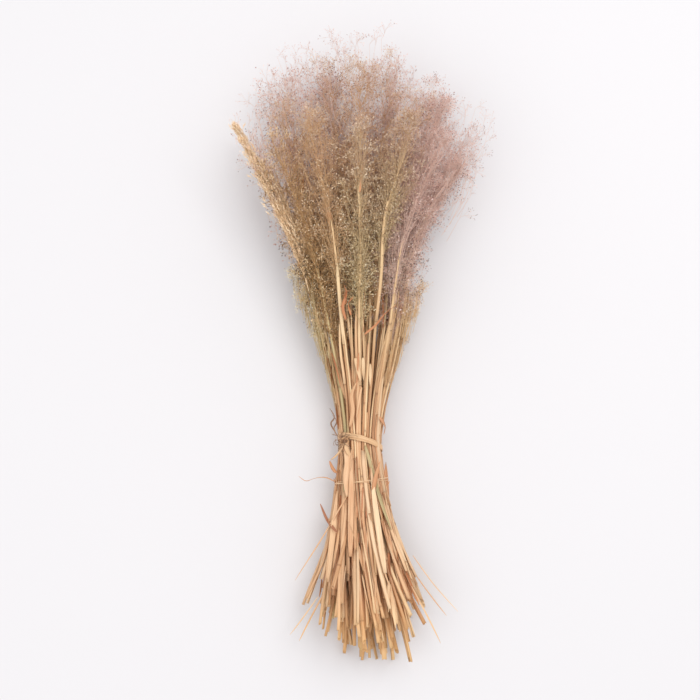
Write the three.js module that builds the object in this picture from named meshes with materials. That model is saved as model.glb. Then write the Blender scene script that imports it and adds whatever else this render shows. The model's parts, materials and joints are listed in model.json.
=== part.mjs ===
// A bundle of dried bent grass, lying on its side on a flat surface.
//
// Millimetres, +Z up. +Y runs from the cut ends of the stems to the tips of the heads, and +X is to
// the right when the cut ends are nearest. The origin is under the middle of the bundle, on the
// surface that it lies on.
//
// The stalks keep fixed places in a round sheaf. Across the bundle the sheaf is an oval: broad at
// the cut ends, narrow where the tie pulls the stems together, and broadest at the heads. Each
// piece is made straight along Y and then carried into the sheaf by one mapping, in which two
// pieces with different places can't meet. "along" is the distance from the tie, in millimetres:
// below zero towards the cut ends, above zero towards the heads.

import * as THREE from "three";

// Driving dimensions.

const HEAD_REACH = 404; // tie to the furthest tip of the heads
const HEAD_WIDTH = 298; // the sheaf's oval at the tips of the edge heads, across
const HEAD_DEPTH = 128; // the same, from the surface up
const HEAD_PRESS = 6; // how far the heads sink, which flattens the lowest ones

const BUTT_REACH = 218; // tie to the longest cut end
const BUTT_WIDTH = 148; // the sheaf's oval at the longest cut end, across
const BUTT_DEPTH = 88; // the same, from the surface up
const BUTT_SHIFT = 14; // how far the cut ends lean towards +X
const BUTT_TWIST = THREE.MathUtils.degToRad(18); // the sheaf's turn between the tie and the cut ends
const BUTT_TRIM = 52; // the shortest cut end falls short of the longest by this

const CULM_DIAMETER = 4.2; // one stem with its dry sheath
const CULM_SPACE = 1.0; // least space between two stems at the tie, where thinner ones lie
const WAIST_FLATNESS = 1.3; // width over depth of the sheaf at the tie
const WAIST_LIFT = 9; // the tied waist hangs this far above the surface

const LOWEST_HEAD_FOOT = 66; // tie to where the first head leaves its stem
const HIGHEST_HEAD_FOOT = 170; // tie to where the last one does
const EDGE_TIP_DROP = 84; // a head at the sheaf's edge ends this far below the middle ones
const TOP_TIP_DROP = 56; // a head on the upper side ends this far below those under it
const TIP_SCATTER = 26; // tips differ by up to this much besides

const BAND_WIDTH = 4.6; // straw band that ties the sheaf, along Y
const BAND_THICKNESS = 1.1;
const KNOT_SIZE = new THREE.Vector3(10, 8, 5.5); // along the band, along Y, and outwards
const KNOT_TURN = THREE.MathUtils.degToRad(128); // where the knot is, from +X towards +Z
const THREAD_ALONG = -37; // the thin thread's place below the tie
const THREAD_WIDTH = 1.1;

const LEAF_THICKNESS = 0.7;
const LEAF_TIP_SHARE = 0.25; // a leaf's width at its tip, as a share of its full width
// Dry leaves that lie on the stems: place round the sheaf, from and to along, and full width.
const LEAVES = [
  { turn: 112, from: -8, to: -112, width: 8 },
  { turn: 66, from: -26, to: -128, width: 7 },
  { turn: 150, from: -48, to: -136, width: 6 },
];

const GAP = 0.3; // between pieces that touch
const TIE_SLACK = 0.5; // between the stems and what is tied round them

// Rings of stalks in the sheaf: how many, and how far out as a share of the oval.
const RINGS = [
  { count: 3, reach: 0.18 },
  { count: 9, reach: 0.5 },
  { count: 15, reach: 0.83 },
];

// A head's outline from its foot to its tip: share of its length, and share of its full breadth.
const HEAD_OUTLINE = [
  [0, 0],
  [0, 0.42],
  [0.14, 0.6],
  [0.34, 0.86],
  [0.56, 1],
  [0.76, 0.92],
  [0.91, 0.58],
  [1, 0],
];

const CULM_SIDES = 6;
const CULM_STEP = 28; // length of one straight stretch of a stem
const HEAD_SIDES = 10;
const BAND_SIDES = 40;
const LEAF_STEP = 13;

// Places of the stalks, as points in a circle of radius 1. The outer ring has two side by side at
// the bottom, which the bundle rests on.
const DOWN = -Math.PI / 2;
const places = RINGS.flatMap(({ count, reach }) =>
  Array.from({ length: count }, (_, i) => {
    const turn = DOWN + ((i + 0.5) * 2 * Math.PI) / count;
    return new THREE.Vector2(reach * Math.cos(turn), reach * Math.sin(turn));
  }),
);
const outerReach = Math.max(...RINGS.map((ring) => ring.reach));
const nearest = Math.min(
  ...places.flatMap((a, i) => places.slice(i + 1).map((b) => a.distanceTo(b))),
);

// From the tie to the tips of the heads at the sheaf's edges.
const edgeTip = HEAD_REACH - EDGE_TIP_DROP - TIP_SCATTER / 2;

// The oval's half sizes at the tie hold the stems side by side, so they follow the stems' diameter.
const culmRadius = CULM_DIAMETER / 2;
const waist = { z: (CULM_DIAMETER + CULM_SPACE) / nearest };
waist.x = waist.z * WAIST_FLATNESS;

// The sheaf's oval at a distance along it: half sizes, centre and turn.
function sheafAt(along) {
  const toHeads = along >= 0;
  const flare = toHeads ? (along / edgeTip) ** 1.5 : (-along / BUTT_REACH) ** 1.4;
  const rise = toHeads ? THREE.MathUtils.smoothstep(along, 0, edgeTip) : flare;
  const end = toHeads
    ? { x: HEAD_WIDTH / 2, z: HEAD_DEPTH / 2 }
    : { x: BUTT_WIDTH / 2, z: BUTT_DEPTH / 2 };
  // The heads' oval is pressed into the surface, and the lowest cut stems touch it.
  const endHeight = toHeads ? end.z - HEAD_PRESS : outerReach * end.z + culmRadius;
  return {
    halfX: THREE.MathUtils.lerp(waist.x, end.x, flare),
    halfZ: THREE.MathUtils.lerp(waist.z, end.z, rise),
    middleX: toHeads ? 0 : BUTT_SHIFT * flare,
    middleZ: THREE.MathUtils.lerp(waist.z + WAIST_LIFT, endHeight, rise),
    turn: toHeads ? 0 : (BUTT_TWIST * along) / BUTT_REACH,
  };
}

// Where a place in the unit circle lies in the bundle, at a distance along it.
function pointAt(place, along) {
  const sheaf = sheafAt(along);
  const at = place.clone().rotateAround(new THREE.Vector2(), sheaf.turn);
  return new THREE.Vector3(
    sheaf.middleX + sheaf.halfX * at.x,
    along,
    sheaf.middleZ + sheaf.halfZ * at.y,
  );
}

// Moves every vertex of a geometry by a function that takes and returns a Vector3.
function reshape(geometry, move) {
  const position = geometry.getAttribute("position");
  const vertex = new THREE.Vector3();
  for (let i = 0; i < position.count; i++) {
    vertex.fromBufferAttribute(position, i);
    position.setXYZ(i, ...move(vertex));
  }
  geometry.computeVertexNormals();
  return geometry;
}

// A number from 0 to 1 that differs from stalk to stalk, and is the same each time.
const scatter = (i, stride) => (i * stride) % 1;

// Distances along the sheaf of a stalk's cut end, head foot and head tip.
function lengthsOf(place, i) {
  const edge = (place.x / outerReach) ** 2;
  const upper = Math.max(0, place.y / outerReach);
  return {
    cut: -BUTT_REACH + BUTT_TRIM * scatter(i, 0.618),
    foot: THREE.MathUtils.lerp(LOWEST_HEAD_FOOT, HIGHEST_HEAD_FOOT, scatter(i, 0.382)),
    tip: HEAD_REACH - EDGE_TIP_DROP * edge - TOP_TIP_DROP * upper - TIP_SCATTER * scatter(i, 0.727),
  };
}

// A stem from its cut end to the foot of its head.
function culm(place, { cut, foot }) {
  const length = foot - GAP - cut;
  const steps = Math.ceil(length / CULM_STEP);
  const straight = new THREE.CylinderGeometry(culmRadius, culmRadius, length, CULM_SIDES, steps);
  straight.translate(0, cut + length / 2, 0);
  // The row of corners nearest the tie moves to it, because that is where the stem bends.
  const halfStep = length / steps / 2;
  return reshape(straight, (v) => {
    const along = v.y > -halfStep && v.y <= halfStep ? 0 : v.y;
    const middle = pointAt(place, along);
    return [middle.x + v.x, along, middle.z + v.z];
  });
}

// The airy head of a stalk as one closed body, which fills the stalk's own share of the oval. Its
// underside is flat where it would reach below the surface.
function head(place, { foot, tip }) {
  const share = nearest / 2 - GAP / waist.z / 2;
  const outline = HEAD_OUTLINE.map(
    ([t, breadth]) => new THREE.Vector2(breadth * share, THREE.MathUtils.lerp(foot, tip, t)),
  );
  const straight = new THREE.LatheGeometry(outline, HEAD_SIDES);
  straight.rotateY(Math.PI / HEAD_SIDES); // a side, and not a corner, faces down
  return reshape(straight, (v) => {
    const { halfX, halfZ } = sheafAt(v.y);
    const middle = pointAt(place, v.y);
    return [middle.x + v.x * halfX, v.y, Math.max(0, middle.z + v.z * halfZ)];
  });
}

// Half sizes of the oval that just clears the outer stems.
function clearOval(along, space) {
  const { halfX, halfZ, middleX, middleZ } = sheafAt(along);
  const out = culmRadius + space;
  return { x: outerReach * halfX + out, z: outerReach * halfZ + out, middleX, middleZ };
}

// A flat band round the sheaf, centred at a distance along it.
function band(along, width, thickness) {
  const inner = clearOval(along, TIE_SLACK);
  const ring = new THREE.Shape();
  ring.absellipse(0, 0, inner.x + thickness, inner.z + thickness, 0, 2 * Math.PI);
  const hole = new THREE.Path();
  hole.absellipse(0, 0, inner.x, inner.z, 0, 2 * Math.PI);
  ring.holes.push(hole);
  const flat = new THREE.ExtrudeGeometry(ring, {
    depth: width,
    bevelEnabled: false,
    curveSegments: BAND_SIDES,
  });
  flat.rotateX(Math.PI / 2); // the shape's Y becomes Z, and its depth runs towards -Y
  return flat.translate(inner.middleX, along + width / 2, inner.middleZ);
}

// A point on the clear oval and the direction straight out of it there.
function ovalPoint(oval, turn) {
  const out = new THREE.Vector2(Math.cos(turn) / oval.x, Math.sin(turn) / oval.z).normalize();
  const at = new THREE.Vector2(
    oval.middleX + oval.x * Math.cos(turn),
    oval.middleZ + oval.z * Math.sin(turn),
  );
  return { at, out };
}

// The band's knot, which sits on its outside.
function knot() {
  const { at, out } = ovalPoint(clearOval(0, TIE_SLACK + BAND_THICKNESS + GAP), KNOT_TURN);
  const centre = at.addScaledVector(out, KNOT_SIZE.z / 2);
  const lump = new THREE.SphereGeometry(0.5, 12, 8);
  lump.scale(KNOT_SIZE.x, KNOT_SIZE.y, KNOT_SIZE.z);
  lump.rotateY(Math.PI / 2 - out.angle());
  return lump.translate(centre.x, 0, centre.y);
}

// A dry leaf that lies over the outer stems and the thread, and narrows to its tip.
function leaf({ turn, from, to, width }) {
  const length = from - to;
  const steps = Math.ceil(length / LEAF_STEP);
  const strip = new THREE.BoxGeometry(width, length, LEAF_THICKNESS, 1, steps, 1);
  const space = TIE_SLACK + THREAD_WIDTH + GAP + LEAF_THICKNESS / 2;
  return reshape(strip, (v) => {
    const t = 0.5 - v.y / length; // 0 at the upper end, 1 at the tip
    const along = THREE.MathUtils.lerp(from, to, t);
    const { at, out } = ovalPoint(clearOval(along, space), THREE.MathUtils.degToRad(turn));
    const across = v.x * THREE.MathUtils.lerp(1, LEAF_TIP_SHARE, t * t);
    return [at.x + out.y * across + out.x * v.z, along, at.y - out.x * across + out.y * v.z];
  });
}

// Colours of the dry plant.

const paint = (color, roughness) =>
  new THREE.MeshStandardMaterial({ color, roughness, metalness: 0 });

const straw = paint("#dcb888", 0.6);
const leafStraw = paint("#e6c79c", 0.65);
const bandStraw = paint("#e0bd90", 0.6);
const threadStraw = paint("#ecd8b4", 0.7);
const headPaints = {
  wheat: paint("#cfae80", 0.9),
  olive: paint("#a58e6c", 0.9),
  sage: paint("#b5a67c", 0.9),
  mauve: paint("#b89284", 0.9),
};

// Heads ripen to mauve at the back and on the right, stay olive in the middle, and are bleached to
// wheat down the left edge; two on top are still a greyish green.
function headPaint(place) {
  if (place.y > 0.6 && place.x > 0 && place.x < 0.6) return headPaints.sage;
  if (place.x < -0.6 && place.y > -0.3) return headPaints.wheat;
  if (place.x > 0.4 || place.y < -0.1) return headPaints.mauve;
  return headPaints.olive;
}

// The bundle.

const bundle = new THREE.Group();

function add(name, geometry, material) {
  const mesh = new THREE.Mesh(geometry, material);
  mesh.name = name;
  bundle.add(mesh);
}

places.forEach((place, i) => {
  const number = String(i + 1).padStart(2, "0");
  const lengths = lengthsOf(place, i);
  add("stem_" + number, culm(place, lengths), straw);
  add("head_" + number, head(place, lengths), headPaint(place));
});
add("tie_band", band(0, BAND_WIDTH, BAND_THICKNESS), bandStraw);
add("tie_knot", knot(), bandStraw);
add("lower_thread", band(THREAD_ALONG, THREAD_WIDTH, THREAD_WIDTH), threadStraw);
LEAVES.forEach((shape, i) => add("leaf_" + (i + 1), leaf(shape), leafStraw));

// The origin goes under the middle of the whole bundle.
const box = new THREE.Box3().setFromObject(bundle);
const middle = box.getCenter(new THREE.Vector3());
bundle.position.set(-middle.x, -middle.y, -box.min.z);

export default bundle;
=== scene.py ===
"""A bundle of dried bent grass that lies on a pale surface.

The frame gives the middle line of every stem and the room that every head takes. Around them this
script grows the real things: hollow stems in torn sheaths, hair-thin branches with their spikelets,
the straw tie with its knot, and the loose leaves.
"""

import json
import logging
import math
import random
from dataclasses import dataclass, field
from enum import Enum
from typing import Any, Callable, Iterable, Sequence, Union

import bmesh
import bpy
import numpy as np
from mathutils import Matrix, Vector


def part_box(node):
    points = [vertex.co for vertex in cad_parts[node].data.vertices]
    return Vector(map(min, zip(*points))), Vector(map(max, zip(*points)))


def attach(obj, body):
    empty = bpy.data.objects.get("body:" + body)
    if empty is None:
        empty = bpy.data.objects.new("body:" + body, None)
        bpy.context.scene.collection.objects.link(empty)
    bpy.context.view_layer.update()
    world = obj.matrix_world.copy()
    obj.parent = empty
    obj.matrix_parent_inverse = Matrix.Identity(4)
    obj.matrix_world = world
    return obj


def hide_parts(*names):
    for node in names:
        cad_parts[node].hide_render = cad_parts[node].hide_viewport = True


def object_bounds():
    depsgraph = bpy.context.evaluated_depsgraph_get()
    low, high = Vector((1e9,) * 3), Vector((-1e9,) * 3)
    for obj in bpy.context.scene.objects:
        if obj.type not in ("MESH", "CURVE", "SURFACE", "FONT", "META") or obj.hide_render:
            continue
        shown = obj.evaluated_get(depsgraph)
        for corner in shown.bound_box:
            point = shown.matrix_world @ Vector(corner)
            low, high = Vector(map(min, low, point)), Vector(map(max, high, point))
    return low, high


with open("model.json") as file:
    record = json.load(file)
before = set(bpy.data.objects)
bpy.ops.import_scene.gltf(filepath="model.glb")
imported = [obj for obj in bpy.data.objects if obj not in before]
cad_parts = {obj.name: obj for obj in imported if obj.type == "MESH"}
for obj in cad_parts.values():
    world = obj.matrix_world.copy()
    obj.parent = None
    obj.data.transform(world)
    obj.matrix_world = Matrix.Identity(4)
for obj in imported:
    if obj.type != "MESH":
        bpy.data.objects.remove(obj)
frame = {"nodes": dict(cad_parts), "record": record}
CAD_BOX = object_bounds()

log = logging.getLogger("bundle")

MM = 0.001
TURN = 2 * math.pi
UP = Vector((0, 0, 1))
Colour = tuple[float, float, float, float]


def paint(code: str) -> Colour:
    """A shader colour from the usual six-digit code of a displayed colour.

    Args:
        code: Red, green and blue as two hexadecimal digits each.

    Returns:
        The linear colour, opaque.
    """
    parts = [int(code[i:i + 2], 16) / 255 for i in (0, 2, 4)]
    linear = [c / 12.92 if c <= 0.04045 else ((c + 0.055) / 1.055) ** 2.4 for c in parts]
    return (linear[0], linear[1], linear[2], 1.0)


def mix(low: float, high: float, share: float) -> float:
    """The value a share of the way from low to high."""
    return low + (high - low) * share


def ease(low: float, high: float, value: float) -> float:
    """0 below low, 1 above high, and a smooth rise between them."""
    share = min(1.0, max(0.0, (value - low) / (high - low)))
    return share * share * (3 - 2 * share)


def lying(height: float, least: float = 2.2 * MM) -> float:
    """A height kept at or above the least one, with a soft bend where it would sink below."""
    return least + least * math.log1p(math.exp((height - least) / least))


# ---------------------------------------------------------------------------------------------
# Shader maths


class Wire:
    """A shader socket that Python's operators work on."""

    def __init__(self, shader: "Shader", socket: bpy.types.NodeSocket) -> None:
        """Wraps an output socket of a node in a shader's tree."""
        self.shader = shader
        self.socket = socket

    def _math(self, operation: str, *values: Any) -> "Wire":
        """One Math node on these values."""
        return self.shader.add("ShaderNodeMath", {"operation": operation}, *values)

    def __add__(self, other: Any) -> "Wire":
        """self + other."""
        return self._math("ADD", self, other)

    def __sub__(self, other: Any) -> "Wire":
        """self - other."""
        return self._math("SUBTRACT", self, other)

    def __rsub__(self, other: Any) -> "Wire":
        """other - self."""
        return self._math("SUBTRACT", other, self)

    def __mul__(self, other: Any) -> "Wire":
        """self * other."""
        return self._math("MULTIPLY", self, other)

    __radd__ = __add__
    __rmul__ = __mul__

    def between(self, low: float, high: float) -> "Wire":
        """0 where this is below low, 1 where it is above high, and smooth between."""
        settings = {"interpolation_type": "SMOOTHSTEP"}
        return self.shader.add("ShaderNodeMapRange", settings, self, low, high)


Input = Union[Wire, float, Sequence[float]]


class Shader:
    """A material under construction: a Principled shader and the nodes that feed it."""

    def __init__(self, name: str, roughness: float) -> None:
        """Starts a material with one Principled shader.

        Args:
            name: The material's name.
            roughness: The surface's roughness where nothing is linked to it.
        """
        self.material = bpy.data.materials.new(name)
        self.material.use_nodes = True
        self.tree = self.material.node_tree
        self.surface = self.tree.nodes["Principled BSDF"]
        self.surface.inputs["Roughness"].default_value = roughness

    def node(self, kind: str, settings: dict[str, Any], *values: Input, **named: Input) -> Any:
        """Makes a node, applies its settings, and then fills its sockets.

        Args:
            kind: The node's type.
            settings: Attributes of the node; "stops" are a ramp's positions and colours.
            *values: Values or links of the first sockets that are in use, in order.
            **named: Values or links by socket name, with _ for a space.

        Returns:
            The node.
        """
        made = self.tree.nodes.new(kind)
        for key, value in settings.items():
            if key == "stops":
                self._set_ramp(made.color_ramp, value)
            else:
                setattr(made, key, value)
        usable = [socket for socket in made.inputs if socket.enabled]
        for socket, value in zip(usable, values):
            self.fill(socket, value)
        for key, value in named.items():
            name = key.replace("_", " ")
            self.fill(next(socket for socket in usable if socket.name == name), value)
        return made

    def add(self, kind: str, settings: dict[str, Any], *values: Input, **named: Input) -> Wire:
        """Makes a node as node() does and returns its first output that is in use."""
        made = self.node(kind, settings, *values, **named)
        return Wire(self, next(socket for socket in made.outputs if socket.enabled))

    def fill(self, socket: bpy.types.NodeSocket, value: Input) -> None:
        """Links a wire to a socket, or sets the socket's own value.

        Args:
            socket: The input socket.
            value: The wire or the value.
        """
        if isinstance(value, Wire):
            self.tree.links.new(value.socket, socket)
        else:
            socket.default_value = value

    def feed(self, name: str, value: Input) -> None:
        """Fills one of the Principled shader's sockets by name."""
        self.fill(self.surface.inputs[name], value)

    @staticmethod
    def _set_ramp(ramp: bpy.types.ColorRamp, stops: Sequence[tuple[float, Colour]]) -> None:
        """Gives a colour ramp its stops.

        Args:
            ramp: The new ramp.
            stops: Positions and colours in order.
        """
        while len(ramp.elements) < len(stops):
            ramp.elements.new(1.0)
        for element, (position, colour) in zip(ramp.elements, stops):
            element.position = position
            element.color = colour

    def attribute(self, name: str) -> Wire:
        """The number that a mesh attribute holds."""
        made = self.node("ShaderNodeAttribute", {"attribute_name": name})
        return Wire(self, made.outputs["Fac"])

    def place(self) -> tuple[Wire, Wire, Wire]:
        """Splits the Object coordinates.

        Returns:
            Their X, Y and Z, in metres.
        """
        spot = self.node("ShaderNodeTexCoord", {}).outputs["Object"]
        split = self.node("ShaderNodeSeparateXYZ", {}, Wire(self, spot))
        return tuple(Wire(self, socket) for socket in split.outputs)

    def noise(self, where: Input, scale: float, detail: float = 2.0) -> Wire:
        """Noise from 0 to 1 at a place."""
        return self.add("ShaderNodeTexNoise", {}, where, Scale=scale, Detail=detail)

    def stretched(self, where: Input, scale: Sequence[float]) -> Wire:
        """A place multiplied by a scale along each axis."""
        return self.add("ShaderNodeVectorMath", {"operation": "MULTIPLY"}, where, scale)

    def ramp(self, where: Wire, stops: Sequence[tuple[float, Colour]]) -> Wire:
        """The colour of a ramp at a value from 0 to 1."""
        return self.add("ShaderNodeValToRGB", {"stops": stops}, where)

    def blend(self, share: Input, first: Input, second: Input, way: str = "MIX") -> Wire:
        """Mixes two colours."""
        settings = {"data_type": "RGBA", "blend_type": way}
        return self.add("ShaderNodeMix", settings, share, first, second)

    def bump(self, height: Wire, depth: float, strength: float) -> None:
        """Raises the surface by a height of up to depth metres."""
        relief = self.add("ShaderNodeBump", {}, Height=height, Distance=depth, Strength=strength)
        self.feed("Normal", relief)


# ---------------------------------------------------------------------------------------------
# Finishes


@dataclass(frozen=True)
class StrawFinish:
    """Dry straw with fine ribs along it.

    Attributes:
        name: The material's name.
        tints: The row of colours that a strand's tint runs through.
        roughness: Its mean roughness.
        ribs_per_metre: How fine the ribs are across the strand.
        ribs_along: How fast they change along it.
        relief: Their height.
        cut_end: The Y of the longest cut end.
        cut_colour: What the straw turns towards at the cut end.
        upper_colour: What it turns towards above the tie.
    """

    name: str
    tints: tuple[str, ...]
    roughness: float = 0.5
    ribs_per_metre: float = 2600.0
    ribs_along: float = 26.0
    relief: float = 0.12 * MM
    cut_end: float = -0.3
    cut_colour: str = "ecbc78"
    upper_colour: str = "ead3a0"

    def build(self) -> bpy.types.Material:
        """Makes the material.

        Returns:
            The material, which reads the "grain" map and the "tint" and "age" attributes.
        """
        shader = Shader(self.name, self.roughness)
        grain = shader.add("ShaderNodeUVMap", {"uv_map": "grain"})
        ribs = shader.noise(shader.stretched(grain, (self.ribs_per_metre, self.ribs_along, 1)), 1, 3)
        blotches = shader.noise(shader.stretched(grain, (260, 34, 1)), 1, 3)
        step = 1 / (len(self.tints) - 1)
        stops = [(i * step, paint(code)) for i, code in enumerate(self.tints)]
        spread = shader.attribute("tint") + (blotches - 0.5) * 0.34
        colour = shader.ramp(spread, stops)
        # Painted highlight on the raised ribs and painted shade in the grooves between them, following the
        # bump's ribs.
        colour = shader.blend(ribs.between(0.3, 0.8) * 0.34, colour, paint("f4dcb4"))
        colour = shader.blend((1 - ribs.between(0.28, 0.5)) * 0.42, colour, paint("86552f"))
        _, y, _ = shader.place()
        near_cut = 1 - y.between(self.cut_end + 0.005, self.cut_end + 0.075)
        colour = shader.blend(y.between(-0.1, 0.11) * 0.6, colour, paint(self.upper_colour))
        # Darker by "age": the stems' own dark joints, plus painted shade in the cut hollows and on stems
        # deep in the sheaf.
        colour = shader.blend(shader.attribute("age"), colour, paint("74401f"))
        colour = shader.blend(near_cut * 0.5, colour, paint(self.cut_colour))
        shader.feed("Base Color", colour)
        shader.feed("Roughness", blotches * 0.25 + (self.roughness - 0.12))
        shader.bump(ribs, self.relief, 0.7)
        return shader.material


@dataclass(frozen=True)
class CloudFinish:
    """The hair-thin branches and spikelets of a head.

    Attributes:
        name: The material's name.
        hair: The threads' colour.
        shaded: The spikelets' colour at tint 0, which is painted shade deep in the bundle.
        middle: The same at tint 0.5.
        lit: The same at tint 1, which is painted light far out and high up.
        ripe: What all turns towards, away from the tie and towards +X.
        ripe_share: How far it turns.
        roughness: Its roughness.
    """

    name: str
    hair: str
    shaded: str
    middle: str
    lit: str
    ripe: str
    ripe_share: float = 0.8
    roughness: float = 0.75

    def build(self) -> bpy.types.Material:
        """Makes the material.

        Returns:
            The material, which reads Object coordinates, "tint" and "part".
        """
        shader = Shader(self.name, self.roughness)
        x, y, _ = shader.place()
        flat = shader.add("ShaderNodeCombineXYZ", {}, x, y, 0.0)
        drift = shader.noise(flat, 22.0, 1.0)
        ripeness = (y + x * 0.55 + (drift - 0.5) * 0.16).between(0.02, 0.27) * self.ripe_share
        # The spikelets' ramp runs from painted shade at tint 0 to painted light at tint 1.
        stops = [(0.0, paint(self.shaded)), (0.5, paint(self.middle)), (1.0, paint(self.lit))]
        grains = shader.ramp(shader.attribute("tint") + (drift - 0.5) * 0.5, stops)
        both = shader.blend(shader.attribute("part"), paint(self.hair), grains)
        colour = shader.blend(ripeness, both, paint(self.ripe))
        shader.feed("Base Color", colour)
        return shader.material


@dataclass(frozen=True)
class FloorFinish:
    """A smooth pale studio surface."""

    name: str = "pale_surface"
    colour: str = "e1e0e1"

    def build(self) -> bpy.types.Material:
        """Makes the material.

        Returns:
            The material.
        """
        shader = Shader(self.name, 0.9)
        shader.feed("Base Color", paint(self.colour))
        shader.feed("Specular IOR Level", 0.1)
        return shader.material


class Finish(Enum):
    """The finishes of the bundle's pieces."""

    STEM = StrawFinish(
        "straw", ("a66b40", "c88d5c", "dba776", "e6bb8a", "f2d0a2", "daa87a", "c4895c", "b09f6c", "948e60")
    )
    SHEATH = StrawFinish(
        "sheath", ("b07048", "cc8f62", "dca87a", "e7bc90", "f3d2aa", "d9a578", "c48258"), 0.55, 3200.0, 18.0
    )
    LEAF = StrawFinish(
        "dry_leaf", ("8c4526", "ac5f36", "c47c4e", "d69c6e", "e4b88c"), 0.6, 3000.0, 20.0,
        upper_colour="c67e4e",
    )
    BAND = StrawFinish("raffia", ("c08a5a", "d3a373", "dfb486", "e9c59b"), 0.5, 4200.0, 15.0)
    KNOT = StrawFinish("dark_fibre", ("46261a", "6c3e28", "905e3e", "bc8a5e"), 0.6, 4000.0, 60.0)
    # For each head: thread colour, painted-shade colour, middle, painted-light colour, ripe colour and its
    # share.
    WHEAT = CloudFinish("wheat_head", "f8dcb4", "a87848", "f0cc9e", "feebcc", "ecc8ac", 0.3)
    OPEN_WHEAT = CloudFinish("open_wheat_head", "d0a874", "3e2414", "ac804a", "fae0b4", "bc9074", 0.35)
    OLIVE = CloudFinish("olive_head", "e2bc8a", "321a0e", "c39464", "fff0d0", "b88674", 0.46)
    SAGE = CloudFinish("sage_head", "e2ca98", "463218", "ceb27e", "fff6d6", "bc8c7c", 0.58)
    MAUVE = CloudFinish("mauve_head", "eaccb8", "46261e", "d2a294", "fff4ec", "ce9f95", 0.38)
    FLOOR = FloorFinish()

    @property
    def material(self) -> bpy.types.Material:
        """The finish's one material, made when it is first asked for."""
        made = bpy.data.materials.get(self.value.name)
        return made or self.value.build()


# ---------------------------------------------------------------------------------------------
# Measures of the frame


def node_points(name: str) -> np.ndarray:
    """The corners of a CAD node, in metres.

    Args:
        name: The node's name.

    Returns:
        One row of x, y and z for each corner.
    """
    mesh = frame["nodes"][name].data
    points = np.zeros(len(mesh.vertices) * 3, np.float32)
    mesh.vertices.foreach_get("co", points)
    return points.reshape(-1, 3).astype(float)


@dataclass
class Course:
    """A line of places along Y, each with the room around it across X and Z."""

    y: np.ndarray
    x: np.ndarray
    z: np.ndarray
    room_x: np.ndarray
    room_z: np.ndarray

    # How far drawn_in() draws the edge of the bundle in on either side, where, and over what length.
    DRAWN_LEFT = 9 * MM
    DRAWN_RIGHT = 27 * MM
    DRAWN_AT = 100 * MM
    DRAWN_OVER = 70 * MM

    @property
    def lines(self) -> tuple[np.ndarray, ...]:
        """All its numbers, in the order of the fields."""
        return self.y, self.x, self.z, self.room_x, self.room_z

    def followed_by(self, other: "Course") -> "Course":
        """This course and then another, whose first row, which this one ends on, is left out."""
        return Course(*[np.concatenate((a, b[1:])) for a, b in zip(self.lines, other.lines)])

    @classmethod
    def of(cls, name: str) -> "Course":
        """Measures a CAD node row by row along Y.

        Args:
            name: The node's name.

        Returns:
            The middle of each row of corners and half its sizes.
        """
        points = node_points(name)
        rows = np.round(points[:, 1] / MM, 1)
        keys = np.unique(rows)
        low = np.array([points[rows == key].min(0) for key in keys])
        high = np.array([points[rows == key].max(0) for key in keys])
        middle, half = (low + high) / 2, (high - low) / 2
        return cls(middle[:, 1], middle[:, 0], middle[:, 2], half[:, 0], half[:, 2])

    def middle(self, y: float) -> Vector:
        """The middle at a distance along Y."""
        return Vector((np.interp(y, self.y, self.x), y, np.interp(y, self.y, self.z)))

    def room(self, y: float) -> tuple[float, float]:
        """Half sizes of the room across X and Z."""
        return float(np.interp(y, self.y, self.room_x)), float(np.interp(y, self.y, self.room_z))

    def drawn_in(self) -> "Course":
        """Draws the line in towards the bundle's middle where the heads begin to open.

        Returns:
            The moved line.
        """
        share = self.x / CAD_BOX[1][0] * np.exp(-((self.y - self.DRAWN_AT) / self.DRAWN_OVER) ** 2)
        moved = self.x - share * np.where(self.x > 0, self.DRAWN_RIGHT, self.DRAWN_LEFT)
        return Course(self.y, moved, self.z, self.room_x, self.room_z)

    def reaching(self, low: float, high: float) -> "Course":
        """The same line, carried straight on to a lower and a higher Y.

        Args:
            low: The Y that it reaches at its lower end.
            high: The Y that it reaches at its upper end.

        Returns:
            The longer line.
        """
        ends = []
        for y, near, next_in in ((low, 0, 2), (high, -1, -3)):
            share = (y - self.y[near]) / (self.y[next_in] - self.y[near])
            ends.append([
                mix(line[near], line[next_in], share) for line in (self.y, self.x, self.z)
            ])
        lines = [np.concatenate(([a], line, [b]))
                 for a, b, line in zip(ends[0], ends[1], (self.y, self.x, self.z))]
        return Course(*lines, np.pad(self.room_x, 1, "edge"), np.pad(self.room_z, 1, "edge"))


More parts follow.
